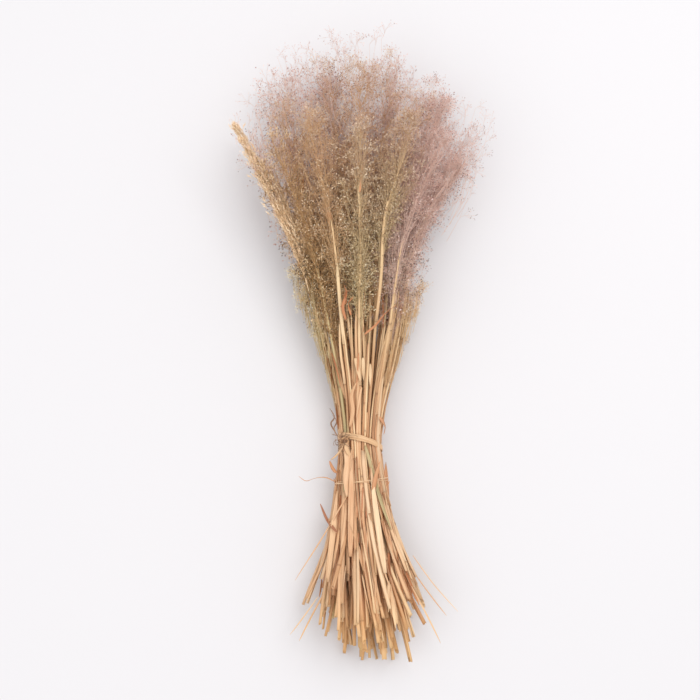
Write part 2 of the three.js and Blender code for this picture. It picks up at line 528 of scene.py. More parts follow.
@dataclass
class Sheaf:
    """The whole bundle's oval along Y, measured from the CAD stems.

    Attributes:
        stems: Each CAD stem's course.
        tie: Where along Y the tie is.
        y: The distances at which the oval is known.
        middle: The oval's middle across and up, at each of them.
        half: Its half sizes across and up.
        turn: How far the stems have turned about its middle since the tie.
        places: Each stem's place at the tie, in a circle of radius 1.
    """

    stems: dict[str, Course]
    tie: float
    y: np.ndarray = field(init=False)
    middle: np.ndarray = field(init=False)
    half: np.ndarray = field(init=False)
    turn: np.ndarray = field(init=False)
    places: np.ndarray = field(init=False)

    OUTER = 0.83
    STEP = 8 * MM
    BELOW_CUTS = 20 * MM
    ABOVE_TIE = 130 * MM

    def __post_init__(self) -> None:
        """Finds the oval's middle, half sizes and turn at even steps along Y."""
        low = min(course.y[0] for course in self.stems.values()) - self.BELOW_CUTS
        high = self.tie + self.ABOVE_TIE
        steps = int((high - low) / self.STEP)
        self.y = np.linspace(low, high, steps)
        lines = [course.reaching(low, high) for course in self.stems.values()]
        x = np.array([np.interp(self.y, line.y, line.x) for line in lines])
        z = np.array([np.interp(self.y, line.y, line.z) for line in lines])
        across = np.array([x, z])
        self.middle = (across.max(1) + across.min(1)) / 2
        self.half = (across.max(1) - across.min(1)) / 2 / self.OUTER
        unit = (across - self.middle[:, None]) / self.half[:, None]
        at_tie = unit[:, :, np.argmin(abs(self.y - self.tie))][:, :, None]
        dot = (unit * at_tie).sum(0).sum(0)
        cross = (at_tie[0] * unit[1] - at_tie[1] * unit[0]).sum(0)
        self.turn = np.arctan2(cross, dot)
        self.places = at_tie[:, :, 0].T

    def oval(self, y: float) -> tuple[float, float, float, float]:
        """The sheaf's oval at a distance along Y.

        Args:
            y: The distance. Above the measured stretch the sheaf goes on opening straight.

        Returns:
            The middle across and up, and the half sizes across and up.
        """
        over = max(0.0, y - self.y[-1])
        slope = (self.half[:, -1] - self.half[:, -6]) / (self.y[-1] - self.y[-6])
        middle = [float(np.interp(y, self.y, line)) for line in self.middle]
        half = [float(np.interp(y, self.y, line)) + rate * over for line, rate in zip(self.half, slope)]
        return middle[0], middle[1], half[0], half[1]

    def point(self, place: tuple[float, float], y: float) -> Vector:
        """Carries a place in the sheaf's circle along the sheaf.

        Args:
            place: The place at the tie, in a circle of radius 1.
            y: The distance along Y.

        Returns:
            Where that place is there.
        """
        turn = float(np.interp(y, self.y, self.turn))
        u = place[0] * math.cos(turn) - place[1] * math.sin(turn)
        v = place[0] * math.sin(turn) + place[1] * math.cos(turn)
        x, z, across, up = self.oval(y)
        return Vector((x + u * across, y, z + v * up))

    def top(self, x: float, y: float, clear: float = 0.0) -> Vector:
        """The point on the sheaf's upper side at a place across and along.

        Args:
            x: The place across, in metres.
            y: The distance along Y.
            clear: How far above the upper side.

        Returns:
            The point. Beside the sheaf it is level with the sheaf's middle.
        """
        middle, height, across, up = self.oval(y)
        side = min(1.0, abs(x - middle) / across)
        return Vector((x, y, height + up * math.sqrt(1 - side * side) + clear))


# ---------------------------------------------------------------------------------------------
# Strands: everything long and thin


@dataclass
class Row:
    """One cross-section of a strand: its middle, the two ways across it, and what it looks like."""

    middle: Vector
    side: Vector
    up: Vector
    # How dark the row is: a dark joint, or painted shade in a hollow or deep in the sheaf.
    age: float = 0.0


def frame_rows(points: Sequence[Vector], roll: Callable[[float], float] = lambda t: 0.0) -> list[Row]:
    """Sets a cross-section square to a line at each of its points.

    Args:
        points: The line's points.
        roll: The section's turn about the line at a share of its length.

    Returns:
        One row for each point, with unit directions.
    """
    rows = []
    last = len(points) - 1
    side = None
    for i, point in enumerate(points):
        ahead = (points[min(i + 1, last)] - points[max(i - 1, 0)]).normalized()
        if side is None:
            side = ahead.cross(UP) if abs(ahead.z) < 0.9 else ahead.cross(Vector((0, 1, 0)))
        side = (side - ahead * side.dot(ahead)).normalized()
        up = side.cross(ahead)
        turn = roll(i / last)
        rows.append(Row(point, side * math.cos(turn) + up * math.sin(turn),
                        up * math.cos(turn) - side * math.sin(turn)))
    return rows


def capped_rows(
    points: Sequence[Vector], roll: Callable[[float], float] = lambda t: 0.0
) -> list[Row]:
    """Rows as frame_rows() gives them, with both end rows twice so that the skin can close there."""
    rows = frame_rows(points, roll)
    return [rows[0], *rows, rows[-1]]


Section = Callable[[int, float], tuple[float, float, float]]


class StrandPiece:
    """A piece made of strands. Each has its own strip of the piece's colour map."""

    def __init__(self, name: str, strands: int) -> None:
        """Starts an empty piece.

        Args:
            name: The piece's name.
            strands: How many strands it will hold at most.
        """
        self.name = name
        self.strands = strands
        self.used = 0
        self.mesh = bmesh.new()
        self.grain = self.mesh.loops.layers.uv.new("grain")
        self.chart = self.mesh.loops.layers.uv.new("OFBake")
        self.tint = self.mesh.verts.layers.float.new("tint")
        # Darkness of the joints, and painted shade in the hollows and deep in the sheaf.
        self.age = self.mesh.verts.layers.float.new("age")
        self.materials: list[bpy.types.Material] = []

    def slot_of(self, finish: Finish) -> int:
        """Finds a finish's material in the piece's list, or adds it.

        Args:
            finish: The finish.

        Returns:
            The material's number.
        """
        if finish.material not in self.materials:
            self.materials.append(finish.material)
        return self.materials.index(finish.material)

    def add(
        self,
        rows: Sequence[Row],
        section: Section,
        sides: int,
        finish: Finish,
        tint: float,
    ) -> None:
        """Draws a section along rows as one closed skin.

        Args:
            rows: The cross-sections in order. The first and last close to a point, or meet.
            section: Across, up and along offsets in metres for a row number and a share of the
                way round.
            sides: Faces round the strand.
            finish: What it is made of.
            tint: Its place in the finish's row of colours.
        """
        steps = len(rows) - 1
        grid = bmesh.ops.create_grid(
            self.mesh, x_segments=sides, y_segments=steps, size=0.5, calc_uvs=False
        )
        faces = {face for vert in grid["verts"] for face in vert.link_faces}
        at = {vert: (vert.co.x + 0.5, round((vert.co.y + 0.5) * steps)) for vert in grid["verts"]}
        lengths = [0.0]
        for before, after in zip(rows, rows[1:]):
            lengths.append(lengths[-1] + (after.middle - before.middle).length)
        whole = lengths[-1] or 1.0
        start = random.random() * 9
        girth = self._girth(section, len(rows) // 2)
        slot = self.slot_of(finish)
        for face in faces:
            face.material_index = slot
            face.smooth = True
            for corner in face.loops:
                around, row = at[corner.vert]
                corner[self.grain].uv = (start + around * girth, start + lengths[row])
                strip = (self.used + 0.04 + 0.92 * around) / self.strands
                corner[self.chart].uv = (strip, 0.01 + 0.98 * lengths[row] / whole)
        for vert, (around, row) in at.items():
            across, up, along = section(row, around % 1.0)
            here = rows[row]
            ahead = here.up.cross(here.side)
            vert.co = here.middle + here.side * across + here.up * up + ahead * along
            vert[self.tint] = tint
            vert[self.age] = here.age
        bmesh.ops.remove_doubles(self.mesh, verts=grid["verts"], dist=1e-6)
        self.used += 1

    @staticmethod
    def _girth(section: Section, row: int) -> float:
        """The distance round a section."""
        ring = [Vector(section(row, i / 12)[:2]) for i in range(13)]
        return sum((b - a).length for a, b in zip(ring, ring[1:]))

    def finish(self, slot: str, *nodes: str) -> bpy.types.Object:
        """Turns the strands into an object that rides on the bundle.

        Args:
            slot: The record's material slot; not used.
            *nodes: The CAD nodes that it stands for.

        Returns:
            The object.
        """
        if self.used > self.strands:
            raise ValueError(f"{self.name} holds {self.used} strands, over {self.strands}")
        bmesh.ops.recalc_face_normals(self.mesh, faces=self.mesh.faces)
        return place_piece(self.name, self.mesh, self.materials, nodes)


def place_piece(
    name: str,
    built: bmesh.types.BMesh,
    materials: Iterable[bpy.types.Material],
    nodes: Sequence[str],
) -> bpy.types.Object:
    """Makes an object of a finished bmesh and hands it to the frame.

    Args:
        name: The piece's name.
        built: Its mesh, which is freed.
        materials: Its materials in order.
        nodes: The CAD nodes that it stands for.

    Returns:
        The object.
    """
    data = bpy.data.meshes.new(name)
    built.to_mesh(data)
    built.free()
    points = np.zeros(len(data.vertices) * 3, np.float32)
    data.vertices.foreach_get("co", points)
    data.vertices.foreach_set("co", settle(points.reshape(-1, 3)).ravel())
    for material in materials:
        data.materials.append(material)
    piece = bpy.data.objects.new(name, data)
    bpy.context.scene.collection.objects.link(piece)
    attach(piece, "root")
    if nodes:
        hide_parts(*nodes)
    log.info("%s: %d faces", name, len(data.polygons))
    return piece


# Along X, Y and Z: how far from the middle a corner may stray freely, and how much further at most.
ROOM = ((116 * MM, 21 * MM), (300 * MM, 30 * MM), (106 * MM, 19 * MM))


def settle(points: np.ndarray, softness: float = 1.2 * MM) -> np.ndarray:
    """Presses what would sink into the surface flat on it, and reins in what strays too far out.

    Args:
        points: One row of x, y and z for each corner.
        softness: How thick the pressed layer is.

    Returns:
        The changed rows.
    """
    low = points[:, 2] < 4 * softness
    points[low, 2] = softness * np.log1p(np.exp(points[low, 2] / softness))
    for axis, (free, give) in enumerate(ROOM):
        middle = (CAD_BOX[0][axis] + CAD_BOX[1][axis]) / 2 if axis < 2 else 0.0
        away = points[:, axis] - middle
        over = abs(away) - free
        held = np.sign(away) * (free + give * np.tanh(np.maximum(over, 0) / give))
        points[:, axis] = np.where(over > 0, held, away) + middle
    return points


# ---------------------------------------------------------------------------------------------
# Stems


@dataclass
class Stem:
    """One hollow stem with its joints, its torn sheaths and what is left of its leaves.

    Attributes:
        line: The stem's middle at a distance along Y.
        cut: Where it was cut.
        end: Where it ends above.
        foot: From where on it narrows to the thread that carries a head.
        radius: Its radius near the cut.
        rng: Makes it differ from the others.
        tint: Its place in the straw's row of colours.
        sides: Faces round it.
        age: How dark it is all over, 0 to 1; on the filling stems this is painted shade, greater deep in
            the sheaf.
        clothed: The share of its joints that still have their sheath.
        blades: The share of its sheaths that still have a leaf.
    """

    line: Callable[[float], Vector]
    cut: float
    end: float
    foot: float
    radius: float
    rng: random.Random
    tint: float
    sides: int = 10
    age: float = 0.0
    clothed: float = 0.55
    blades: float = 0.35

    HOLLOW = 0.78
    HOLLOW_DEPTH = 7 * MM
    SPACING = 13 * MM
    SHEATH_WALL = 0.16 * MM
    STRANDS = 12
    TIP_SHARE = 0.13

    def __post_init__(self) -> None:
        """Chooses where the joints are, how flat the stem is, and how the cut slants."""
        self.joints = []
        y = self.cut + self.rng.uniform(8, 90) * MM
        while y < self.end - 40 * MM and len(self.joints) < 5:
            self.joints.append(y)
            y += self.rng.uniform(70, 140) * MM
        self.slant = self.rng.uniform(0.1, 1.9)
        self.slant_turn = TURN / 4 + self.rng.gauss(0, 0.7)
        self.flatness = self.rng.uniform(0.45, 0.7) if self.rng.random() < 0.3 else self.rng.uniform(0.8, 1)
        self.facing = self.rng.uniform(0, TURN)

    def build(self, piece: StrandPiece) -> None:
        """Adds the stem, its sheaths and its leaf blades.

        Args:
            piece: The piece to add them to.
        """
        self._tube(piece)
        starts = [y for y in self.joints if y < self.end - 60 * MM]
        starts = [y for y in [self.cut - 2 * MM, *starts] if self.rng.random() < self.clothed]
        for start in starts:
            length = min(self.rng.uniform(45, 125) * MM, self.end - start - 20 * MM)
            self._sheath(piece, start, length)
            if self.rng.random() < self.blades:
                self._blade(piece, start + length)

    def _thickness(self, y: float) -> float:
        """The stem's radius, with a swelling at each joint.

        Args:
            y: The distance along Y.

        Returns:
            The radius there.
        """
        share = max(0.0, y - self.cut) / (self.end - self.cut)
        swell = sum(math.exp(-((y - joint) / (1.6 * MM)) ** 2) for joint in self.joints)
        narrowing = 1 - (1 - self.TIP_SHARE) * ease(self.foot, self.end, y)
        return self.radius * (1 - 0.3 * share ** 1.5) * (1 + 0.2 * min(1.0, swell)) * narrowing

    def _tube(self, piece: StrandPiece) -> None:
        """Adds the hollow stem itself.

        Args:
            piece: The piece to add it to.
        """
        count = max(4, int((self.end - self.cut) / self.SPACING))
        ys = [mix(self.cut, self.end, i / count) for i in range(count + 1)]
        for joint in self.joints:
            ys += [joint + step * MM for step in (-3.2, -1.4, 0, 1.4, 3.2)]
        ys.sort()
        inside = self.cut + self.HOLLOW_DEPTH
        stops = [(inside, 0.0), (inside, self.HOLLOW), (self.cut, self.HOLLOW)]
        stops += [(y, 1.0) for y in ys]
        stops.append((self.end, 0.0))
        rows = frame_rows([self.line(y) for y, _ in stops[3:-1]])
        deep = frame_rows([self.line(self.cut), self.line(inside)])
        rows = [deep[1], deep[1], deep[0]] + rows + [rows[-1]]
        rows = [Row(row.middle, row.side, row.up) for row in rows]
        for row, (y, share) in zip(rows, stops):
            swell = sum(math.exp(-((y - joint) / (1.3 * MM)) ** 2) for joint in self.joints)
            row.age = max(self.age, min(0.75, 0.6 * swell))
        # Painted shade: the bottom of the hollow at the cut end is made dark.
        for row in rows[:2]:
            row.age = 0.9

        def section(i: int, around: float) -> tuple[float, float, float]:
            """An oval ring, slanted where the stem was cut."""
            y, share = stops[i]
            turn = around * TURN
            reach = self._thickness(y) * share
            slant = self.slant * math.cos(turn - self.slant_turn) * reach if i in (2, 3) else 0.0
            return reach * math.cos(turn), reach * self.flatness * math.sin(turn), slant

        piece.add(rows, section, self.sides, Finish.STEM, self.tint)

    def _sheath(self, piece: StrandPiece, start: float, length: float) -> None:
        """Adds a leaf sheath: a strip rolled round the stem, with its lap and its torn mouth.

        Args:
            piece: The piece to add it to.
            start: Where along Y it starts, at a joint.
            length: Its length.
        """
        steps = max(4, int(length / (11 * MM)))
        ys = [start + length * i / steps for i in range(steps + 1)]
        rows = capped_rows([self.line(y) for y in ys])
        for row in rows:
            row.age = self.age
        wrap = self.rng.uniform(0.8, 0.98) * TURN
        lift = self.rng.uniform(0.08, 0.8)
        tear = self.rng.uniform(2, 9) * MM
        tilt = self.rng.uniform(0, TURN)
        tint = min(1.0, max(0.0, self.rng.gauss(0.5, 0.22)))

        def section(i: int, around: float) -> tuple[float, float, float]:
            """Out along the strip's outer side and back along its inner one."""
            k = min(max(i - 1, 0), steps)
            share = k / steps
            outer = around < 0.5
            way = around * 2 if outer else 2 - around * 2
            turn = self.facing + way * wrap
            base = self._thickness(ys[k]) + 0.12 * MM
            flare = 1 + lift * (way ** 3) * (0.25 + share ** 2)
            reach = base * flare + 0.25 * MM * share
            if outer and 0 < i < steps + 2:
                reach += self.SHEATH_WALL
            torn = tear * math.cos(turn * 1.5 + tilt) * (0.5 + 0.5 * way) if k == steps else 0.0
            return reach * math.cos(turn), reach * self.flatness * math.sin(turn), torn

        rows[-2].age = rows[-1].age = max(self.age, 0.18)
        piece.add(rows, section, 20, Finish.SHEATH, tint)

    def _blade(self, piece: StrandPiece, start: float) -> None:
        """Adds what is left of a leaf: a thin ribbon that bends away from the sheath's mouth.

        Args:
            piece: The piece to add it to.
            start: Where along Y the sheath ends.
        """
        length = self.rng.uniform(12, 48) * MM
        width = self.rng.uniform(0.7, 1.5) * self.radius
        away = Vector((math.cos(self.facing), 0, math.sin(self.facing)))
        drop = self.rng.uniform(0.05, 0.35)
        steps = 8
        begin = self.line(start - 4 * MM) + away * self.radius
        points = [
            begin + Vector((0, length * i / steps, 0)) + away * length * drop * (i / steps) ** 2
            for i in range(steps + 1)
        ]
        ribbon(piece, points, width, self.rng, Finish.LEAF, self.rng.uniform(0.4, 1.0))


def ribbon(
    piece: StrandPiece,
    points: Sequence[Vector],
    width: float,
    rng: random.Random,
    finish: Finish,
    tint: float,
    thickness: float = 0.25 * MM,
    twist: float = 1.0,
    fold: float = 0.25,
    roll: float | None = None,
) -> None:
    """Adds a thin leaf or strip along a line, folded along its middle and narrowing at both ends.

    Args:
        piece: The piece to add it to.
        points: The line.
        width: Half its full width.
        rng: Chooses its turn and twist.
        finish: What it is made of.
        tint: Its place in the finish's row of colours.
        thickness: Its thickness at the middle.
        twist: How far it twists from end to end, in radians, at most.
        fold: Depth of the fold, as a share of the half width.
        roll: Its turn about the line at the start, or None for any.
    """
    first = rng.uniform(0, TURN) if roll is None else roll
    turned = rng.uniform(-twist, twist)
    rows = capped_rows(points, lambda t: first + turned * t)
    last = len(rows) - 1

    def section(i: int, around: float) -> tuple[float, float, float]:
        """A lens, folded along its middle."""
        share = (i - 1) / (last - 2)
        end = 0.0 if i in (0, last) else 1.0
        taper = min(1.0, 0.55 + 2.5 * share) * (1 - max(0.0, share - 0.45) ** 2 * 2.6)
        turn = around * TURN
        across = width * taper * math.cos(turn) * end
        sag = fold * width * taper * abs(math.cos(turn)) ** 1.5 * end
        return across, thickness / 2 * math.sin(turn) * end + sag, 0.0

    piece.add(rows, section, 8, finish, tint)


@dataclass(frozen=True)
class Filling:
    """A lot of thinner stems that fill the sheaf.

    Attributes:
        name: The pieces' name.
        count: How many stems.
        groups: How many pieces they make.
        radius: Their least and greatest radius.
        cut: Least and greatest distance of the cut below the tie.
        end: Least and greatest distance of the upper end from the tie, up the bundle.
        rim: How far out they may be, in the sheaf's circle of radius 1.
        packed: How near they may come to the other stems, as a share of the sum of the radii.
        crossing: How far they shift across the sheaf towards their ends.
        rise: How steeply the ends of the upper ones rise, as a slope.
    """

    name: str
    count: int
    groups: int
    radius: tuple[float, float]
    cut: tuple[float, float]
    end: tuple[float, float]
    rim: float
    packed: float
    crossing: float
    rise: float


@dataclass
class Stalks:
    """All the stems: one for each CAD stem, and the thinner ones that fill the sheaf.

    Attributes:
        sheaf: The sheaf that they keep their places in.
        seed: Makes them what they are.
        own_radius: The least and greatest radius of those that stand for a CAD stem.
        lots: The thinner ones.
    """

    # How much shorter the stems at either side of the bundle were cut.
    SHORTER_LEFT = 38 * MM
    SHORTER_RIGHT = 52 * MM
    TRIES = 60000
    GREEN_SHARE = 0.04

    sheaf: Sheaf
    seed: int = 11
    own_radius: tuple[float, float] = (1.5 * MM, 2.05 * MM)
    lots: tuple[Filling, ...] = (
        Filling(
            "inner_stems", count=88, groups=6, radius=(0.95 * MM, 1.8 * MM),
            cut=(150 * MM, 217 * MM), end=(95 * MM, 235 * MM),
            rim=0.93, packed=0.84, crossing=0.15, rise=0.1,
        ),
        Filling(
            "short_stems", count=96, groups=5, radius=(0.9 * MM, 1.9 * MM),
            cut=(118 * MM, 214 * MM), end=(-75 * MM, -25 * MM),
            rim=0.88, packed=0.5, crossing=0.28, rise=0.55,
        ),
    )

    def wander(
        self, rng: random.Random, line: Callable[[float], Vector], kink: float = 0.0, rise: float = 0.0
    ) -> Callable[[float], Vector]:
        """A line that strays from another, more so away from the tie.

        Args:
            rng: Chooses the way it strays.
            line: The line to stray from.
            kink: How sharply it may bend where it was broken, as a slope.
            rise: How steeply it rises beyond that bend, as a slope.

        Returns:
            The straying line.
        """
        waves = [(rng.uniform(14, 60), rng.uniform(0, TURN), rng.gauss(0, 0.7)) for _ in range(4)]
        broken = self.sheaf.tie - rng.uniform(60, 170) * MM
        slope = Vector((rng.gauss(0, kink), 0, rng.gauss(0, kink * 0.5) + rise))

        def strayed(y: float) -> Vector:
            """The point at a distance along Y."""
            away = abs(y - self.sheaf.tie)
            size = (0.15 + away / (150 * MM)) * MM
            x = sum(a * math.sin(k * y + p) for k, p, a in waves[:2])
            z = sum(a * math.sin(k * y + p) for k, p, a in waves[2:])
            spot = line(y) + Vector((x, 0, z)) * size + slope * max(0.0, broken - y)
            spot.z = lying(spot.z)
            return spot

        return strayed

    def build(self) -> None:
        """Makes every stem."""
        taken = []
        for number, (name, course) in enumerate(self.sheaf.stems.items()):
            rng = random.Random(self.seed * 100 + number)
            radius = rng.uniform(*self.own_radius)
            taken.append((*self.sheaf.places[number], radius))
            head = Course.of(name.replace("stem", "head"))
            middle = course.followed_by(head).drawn_in().middle
            low = course.y[0] + rng.uniform(0, 6) * MM + self._shorter(course.middle(course.y[0]).x)
            foot = float(course.y[-1])
            end = foot + (float(head.y[-1]) - foot) * rng.uniform(0.5, 0.74)
            line = self.wander(rng, middle)
            stem = Stem(line, low, end, foot - 10 * MM, radius, rng, self._tint(rng))
            piece = StrandPiece(name, Stem.STRANDS)
            stem.build(piece)
            piece.finish("stem", name)
        for lot in self.lots:
            self._fill(lot, taken)

    def _shorter(self, x: float) -> float:
        """How much shorter than the longest a stem was cut.

        Args:
            x: The place of its end across the bundle.

        Returns:
            The difference, greater towards both sides.
        """
        middle, _, across, _ = self.sheaf.oval(self.sheaf.tie - 200 * MM)
        side = (x - middle) / across
        most = self.SHORTER_RIGHT if side > 0 else self.SHORTER_LEFT
        return 6 * MM + most * ease(0.25, 1.08, abs(side))

    def _tint(self, rng: random.Random) -> float:
        """A stem's colour: mostly pale straw, a few still a greyish green."""
        green = rng.random() < self.GREEN_SHARE
        return rng.uniform(0.86, 0.97) if green else min(0.8, max(0.0, rng.gauss(0.4, 0.24)))

    def _fill(self, lot: Filling, taken: list[tuple[float, float, float]]) -> None:
        """Adds a lot of stems in the free places between the ones there are.

        Args:
            lot: The lot.
            taken: Place across, place up and radius of each stem so far.
        """
        rng = random.Random(self.seed + lot.count)
        half = self.sheaf.half[:, np.argmin(abs(self.sheaf.y - self.sheaf.tie))]
        found = []
        tries = 0
        while len(found) < lot.count and tries < self.TRIES:
            tries += 1
            radius = rng.uniform(*lot.radius)
            reach, turn = math.sqrt(rng.random()) * lot.rim, rng.uniform(0, TURN)
            u, v = reach * math.cos(turn), reach * math.sin(turn)
            if all(
                math.hypot((u - a) * half[0], (v - b) * half[1]) > lot.packed * (radius + other)
                for a, b, other in taken
            ):
                taken.append((u, v, radius))
                found.append((u, v, radius))
        log.info("%s: %d found a place", lot.name, len(found))
        found.sort(key=lambda spot: math.atan2(spot[1], spot[0]))
        size = math.ceil(len(found) / lot.groups)
        for group in range(lot.groups):
            members = found[group * size:(group + 1) * size]
            piece = StrandPiece(f"{lot.name}_{group + 1}", size * Stem.STRANDS)
            for spot in members:
                self._filler(piece, spot, lot, rng)
            piece.finish("stem")

    def _filler(
        self, piece: StrandPiece, spot: tuple[float, float, float], lot: Filling, rng: random.Random
    ) -> None:
        """Adds one thinner stem.

        Args:
            piece: The piece to add it to.
            spot: Place across, place up and radius.
            lot: The lot that it belongs to.
            rng: Chooses the rest.
        """
        u, v, radius = spot
        low_shift, high_shift = [
            Vector((rng.gauss(0, lot.crossing), rng.gauss(0, lot.crossing))) for _ in range(2)
        ]
        splay = rng.uniform(-0.05, 0.25)
        tie = self.sheaf.tie
        cut = tie - mix(lot.cut[1], lot.cut[0], min(1.0, rng.random() * 0.75 + max(0.0, v) * 0.35))
        end = tie + rng.uniform(*lot.end)

        def line(y: float) -> Vector:
            """The stem's way through the sheaf, which shifts a little towards both ends."""
            shift = low_shift * max(0.0, tie - y) + high_shift * max(0.0, y - tie)
            opened = ease(50 * MM, 190 * MM, tie - y)
            place = Vector((u, v)) * (1 + splay * opened) + shift / (200 * MM)
            rim = 0.97 + 0.16 * opened - 0.3 * ease(70 * MM, 190 * MM, y - tie)
            if place.length > rim:
                place = place.normalized() * rim
            return self.sheaf.point(tuple(place), y)

        cut += self._shorter(line(cut).x)
        kink = 0.17 if rng.random() < 0.28 else 0.05
        rise = lot.rise * max(0.0, v) * rng.random()
        # Painted shade: stems deep in the sheaf and on its lower side are darker, with a random spread.
        inside = 1 - min(1.0, math.hypot(u, v) * 0.6 + max(0.0, v) * 0.8)
        age = max(0.0, 0.5 * inside + rng.gauss(-0.02, 0.12))
        strayed = self.wander(rng, line, kink, rise)
        stem = Stem(strayed, cut, end, end - 70 * MM, radius, rng, self._tint(rng), 8, min(0.7, age))
        stem.build(piece)


# ---------------------------------------------------------------------------------------------
# Heads


@dataclass(frozen=True)
class Habit:
    """How one kind of head branches.

    Attributes:
        spread: How far its branches reach, as a share of the head's room.
        whorls: Rings of branches along the head.
        branches: Branches in a ring.
        advance: Length along Y of the lowest branches, in metres.
        sprays: Sprays on each of the lowest branches.
        lean: How far a spray leans any way from its branch; 0 is along it.
        size: Length of a spray's main twig, in metres.
        open: Angle between a twig and its side twigs, in radians.
        curl: How far a spray's main twig bends, in radians.
        forks: Side twigs of a spray.
        grain: Half the length and half the width of a spikelet, in metres.
        tints: The least and greatest tint of its sprays.
        full_until: The share of its length from which on it narrows.
        rounding: How much shorter it is at the sides of the bundle.
        raised: How far it lies above its room's middle line, in metres.
        top: How far up its room it reaches in the middle of the bundle, as a share.
        hair: Half width of the finest twig, in metres.
    """

    spread: float
    whorls: int
    branches: int
    advance: float
    sprays: int
    lean: float
    size: float
    open: float
    curl: float
    forks: int = 5
    grain: tuple[float, float] = (0.95 * MM, 0.48 * MM)
    tints: tuple[float, float] = (0.0, 1.0)
    full_until: float = 0.62
    rounding: float = 0.2
    raised: float = 0.0
    top: float = 0.95
    hair: float = 0.08 * MM


HABITS: dict[str, tuple[Finish, Habit]] = {
    "head_wheat": (Finish.WHEAT, Habit(
        spread=0.95, whorls=66, branches=5, advance=72 * MM, sprays=3, lean=0.05, size=5.6 * MM,
        open=0.2, curl=0.05, forks=4, grain=(1.0 * MM, 0.36 * MM), tints=(0.35, 1.0),
        full_until=0.28, rounding=0.0, raised=20 * MM, top=0.985,
    )),
    "head_sage": (Finish.SAGE, Habit(
        spread=1.05, whorls=18, branches=5, advance=64 * MM, sprays=4, lean=0.7, size=9 * MM,
        open=0.8, curl=0.7, top=0.86,
    )),
    "head_olive": (Finish.OLIVE, Habit(
        spread=1.35, whorls=16, branches=5, advance=72 * MM, sprays=4, lean=1.1, size=10 * MM,
        open=0.95, curl=1.0, grain=(0.9 * MM, 0.42 * MM),
    )),
    "head_mauve": (Finish.MAUVE, Habit(
        spread=1.35, whorls=16, branches=5, advance=78 * MM, sprays=4, lean=1.2, size=11 * MM,
        open=1.0, curl=1.0, grain=(0.85 * MM, 0.4 * MM),
    )),
}
# Two of the wheat-coloured heads are loose clouds, not a brush.
OPEN_WHEAT = Habit(
    spread=1.0, whorls=18, branches=5, advance=64 * MM, sprays=4, lean=0.8, size=9 * MM,
    open=0.8, curl=0.8,
)
OPEN_WHEAT_HEADS = ("head_22", "head_23")


@dataclass(frozen=True)
class Threads:
    """Adds hair-thin three-sided threads and spikelets to a mesh."""

    built: bmesh.types.BMesh

    @classmethod
    def on(cls, built: bmesh.types.BMesh) -> "Threads":
        """Prepares an empty mesh.

        Args:
            built: The mesh. It gets "tint", a colour from 0, shaded, to 1, bleached, which carries painted
                shade and painted light, and "part",
            which is 1 on a spikelet and 0 on a thread.

        Returns:
            The helper that adds threads to it.
        """
        built.verts.layers.float.new("tint")
        built.verts.layers.float.new("part")
        return cls(built)

    def thread(self, points: Sequence[Vector], first: float, last: float, tint: float) -> None:
        """Adds a thread along a line.

        Args:
            points: The line.
            first: Radius where it starts.
            last: Radius where it ends.
            tint: Its colour.
        """
        steps = len(points) - 1
        grid = bmesh.ops.create_grid(self.built, x_segments=3, y_segments=steps + 2, size=0.5)
        rows = frame_rows(points)
        tints = self.built.verts.layers.float["tint"]
        for vert in grid["verts"]:
            turn = (vert.co.x + 0.5) * TURN
            i = round((vert.co.y + 0.5) * (steps + 2))
            row = rows[min(max(i - 1, 0), steps)]
            radius = 0.0 if i in (0, steps + 2) else mix(first, last, (i - 1) / steps)
            vert.co = row.middle + (row.side * math.cos(turn) + row.up * math.sin(turn)) * radius
            vert[tints] = tint

    def twig(self, base: Vector, tip: Vector, first: float, last: float, tint: float) -> Matrix:
        """Adds a straight twig.

        Args:
            base: Where it starts.
            tip: Where it ends.
            first: Radius where it starts.
            last: Radius where it ends.
            tint: Its colour.

        Returns:
            The turn from +Z to the twig's direction.
        """
        turned = (tip - base).to_track_quat("Z", "Y").to_matrix().to_4x4()
        cone = bmesh.ops.create_cone(
            self.built, cap_ends=True, cap_tris=False, segments=3, radius1=first, radius2=last,
            depth=(tip - base).length, matrix=Matrix.Translation(base.lerp(tip, 0.5)) @ turned,
        )
        tints = self.built.verts.layers.float["tint"]
        for vert in cone["verts"]:
            vert[tints] = tint
        return turned

    def spikelet(self, at: Vector, turned: Matrix, length: float, width: float, tint: float) -> None:
        """Adds a spikelet.

        Args:
            at: Its middle.
            turned: The turn from +Z to its direction.
            length: Half its length.
            width: Half its width.
            tint: Its colour.
        """
        grain = bmesh.ops.create_uvsphere(
            self.built, u_segments=3, v_segments=2, radius=1.0,
            matrix=Matrix.Translation(at) @ turned @ Matrix.Diagonal((width, width, length, 1)),
        )
        layers = self.built.verts.layers.float
        for vert in grain["verts"]:
            vert[layers["tint"]] = tint
            vert[layers["part"]] = 1.0

    def close(self) -> None:
        """Closes the threads' seams and ends, and smooths their four-sided faces."""
        bmesh.ops.remove_doubles(self.built, verts=self.built.verts, dist=1e-7)
        bmesh.ops.recalc_face_normals(self.built, faces=self.built.faces)
        for face in self.built.faces:
            face.smooth = len(face.verts) == 4


# A spray's foot, direction, size, and its painted light and shade, from 0, shaded, to 1, lit.
Spray = tuple[Vector, Vector, float, float]


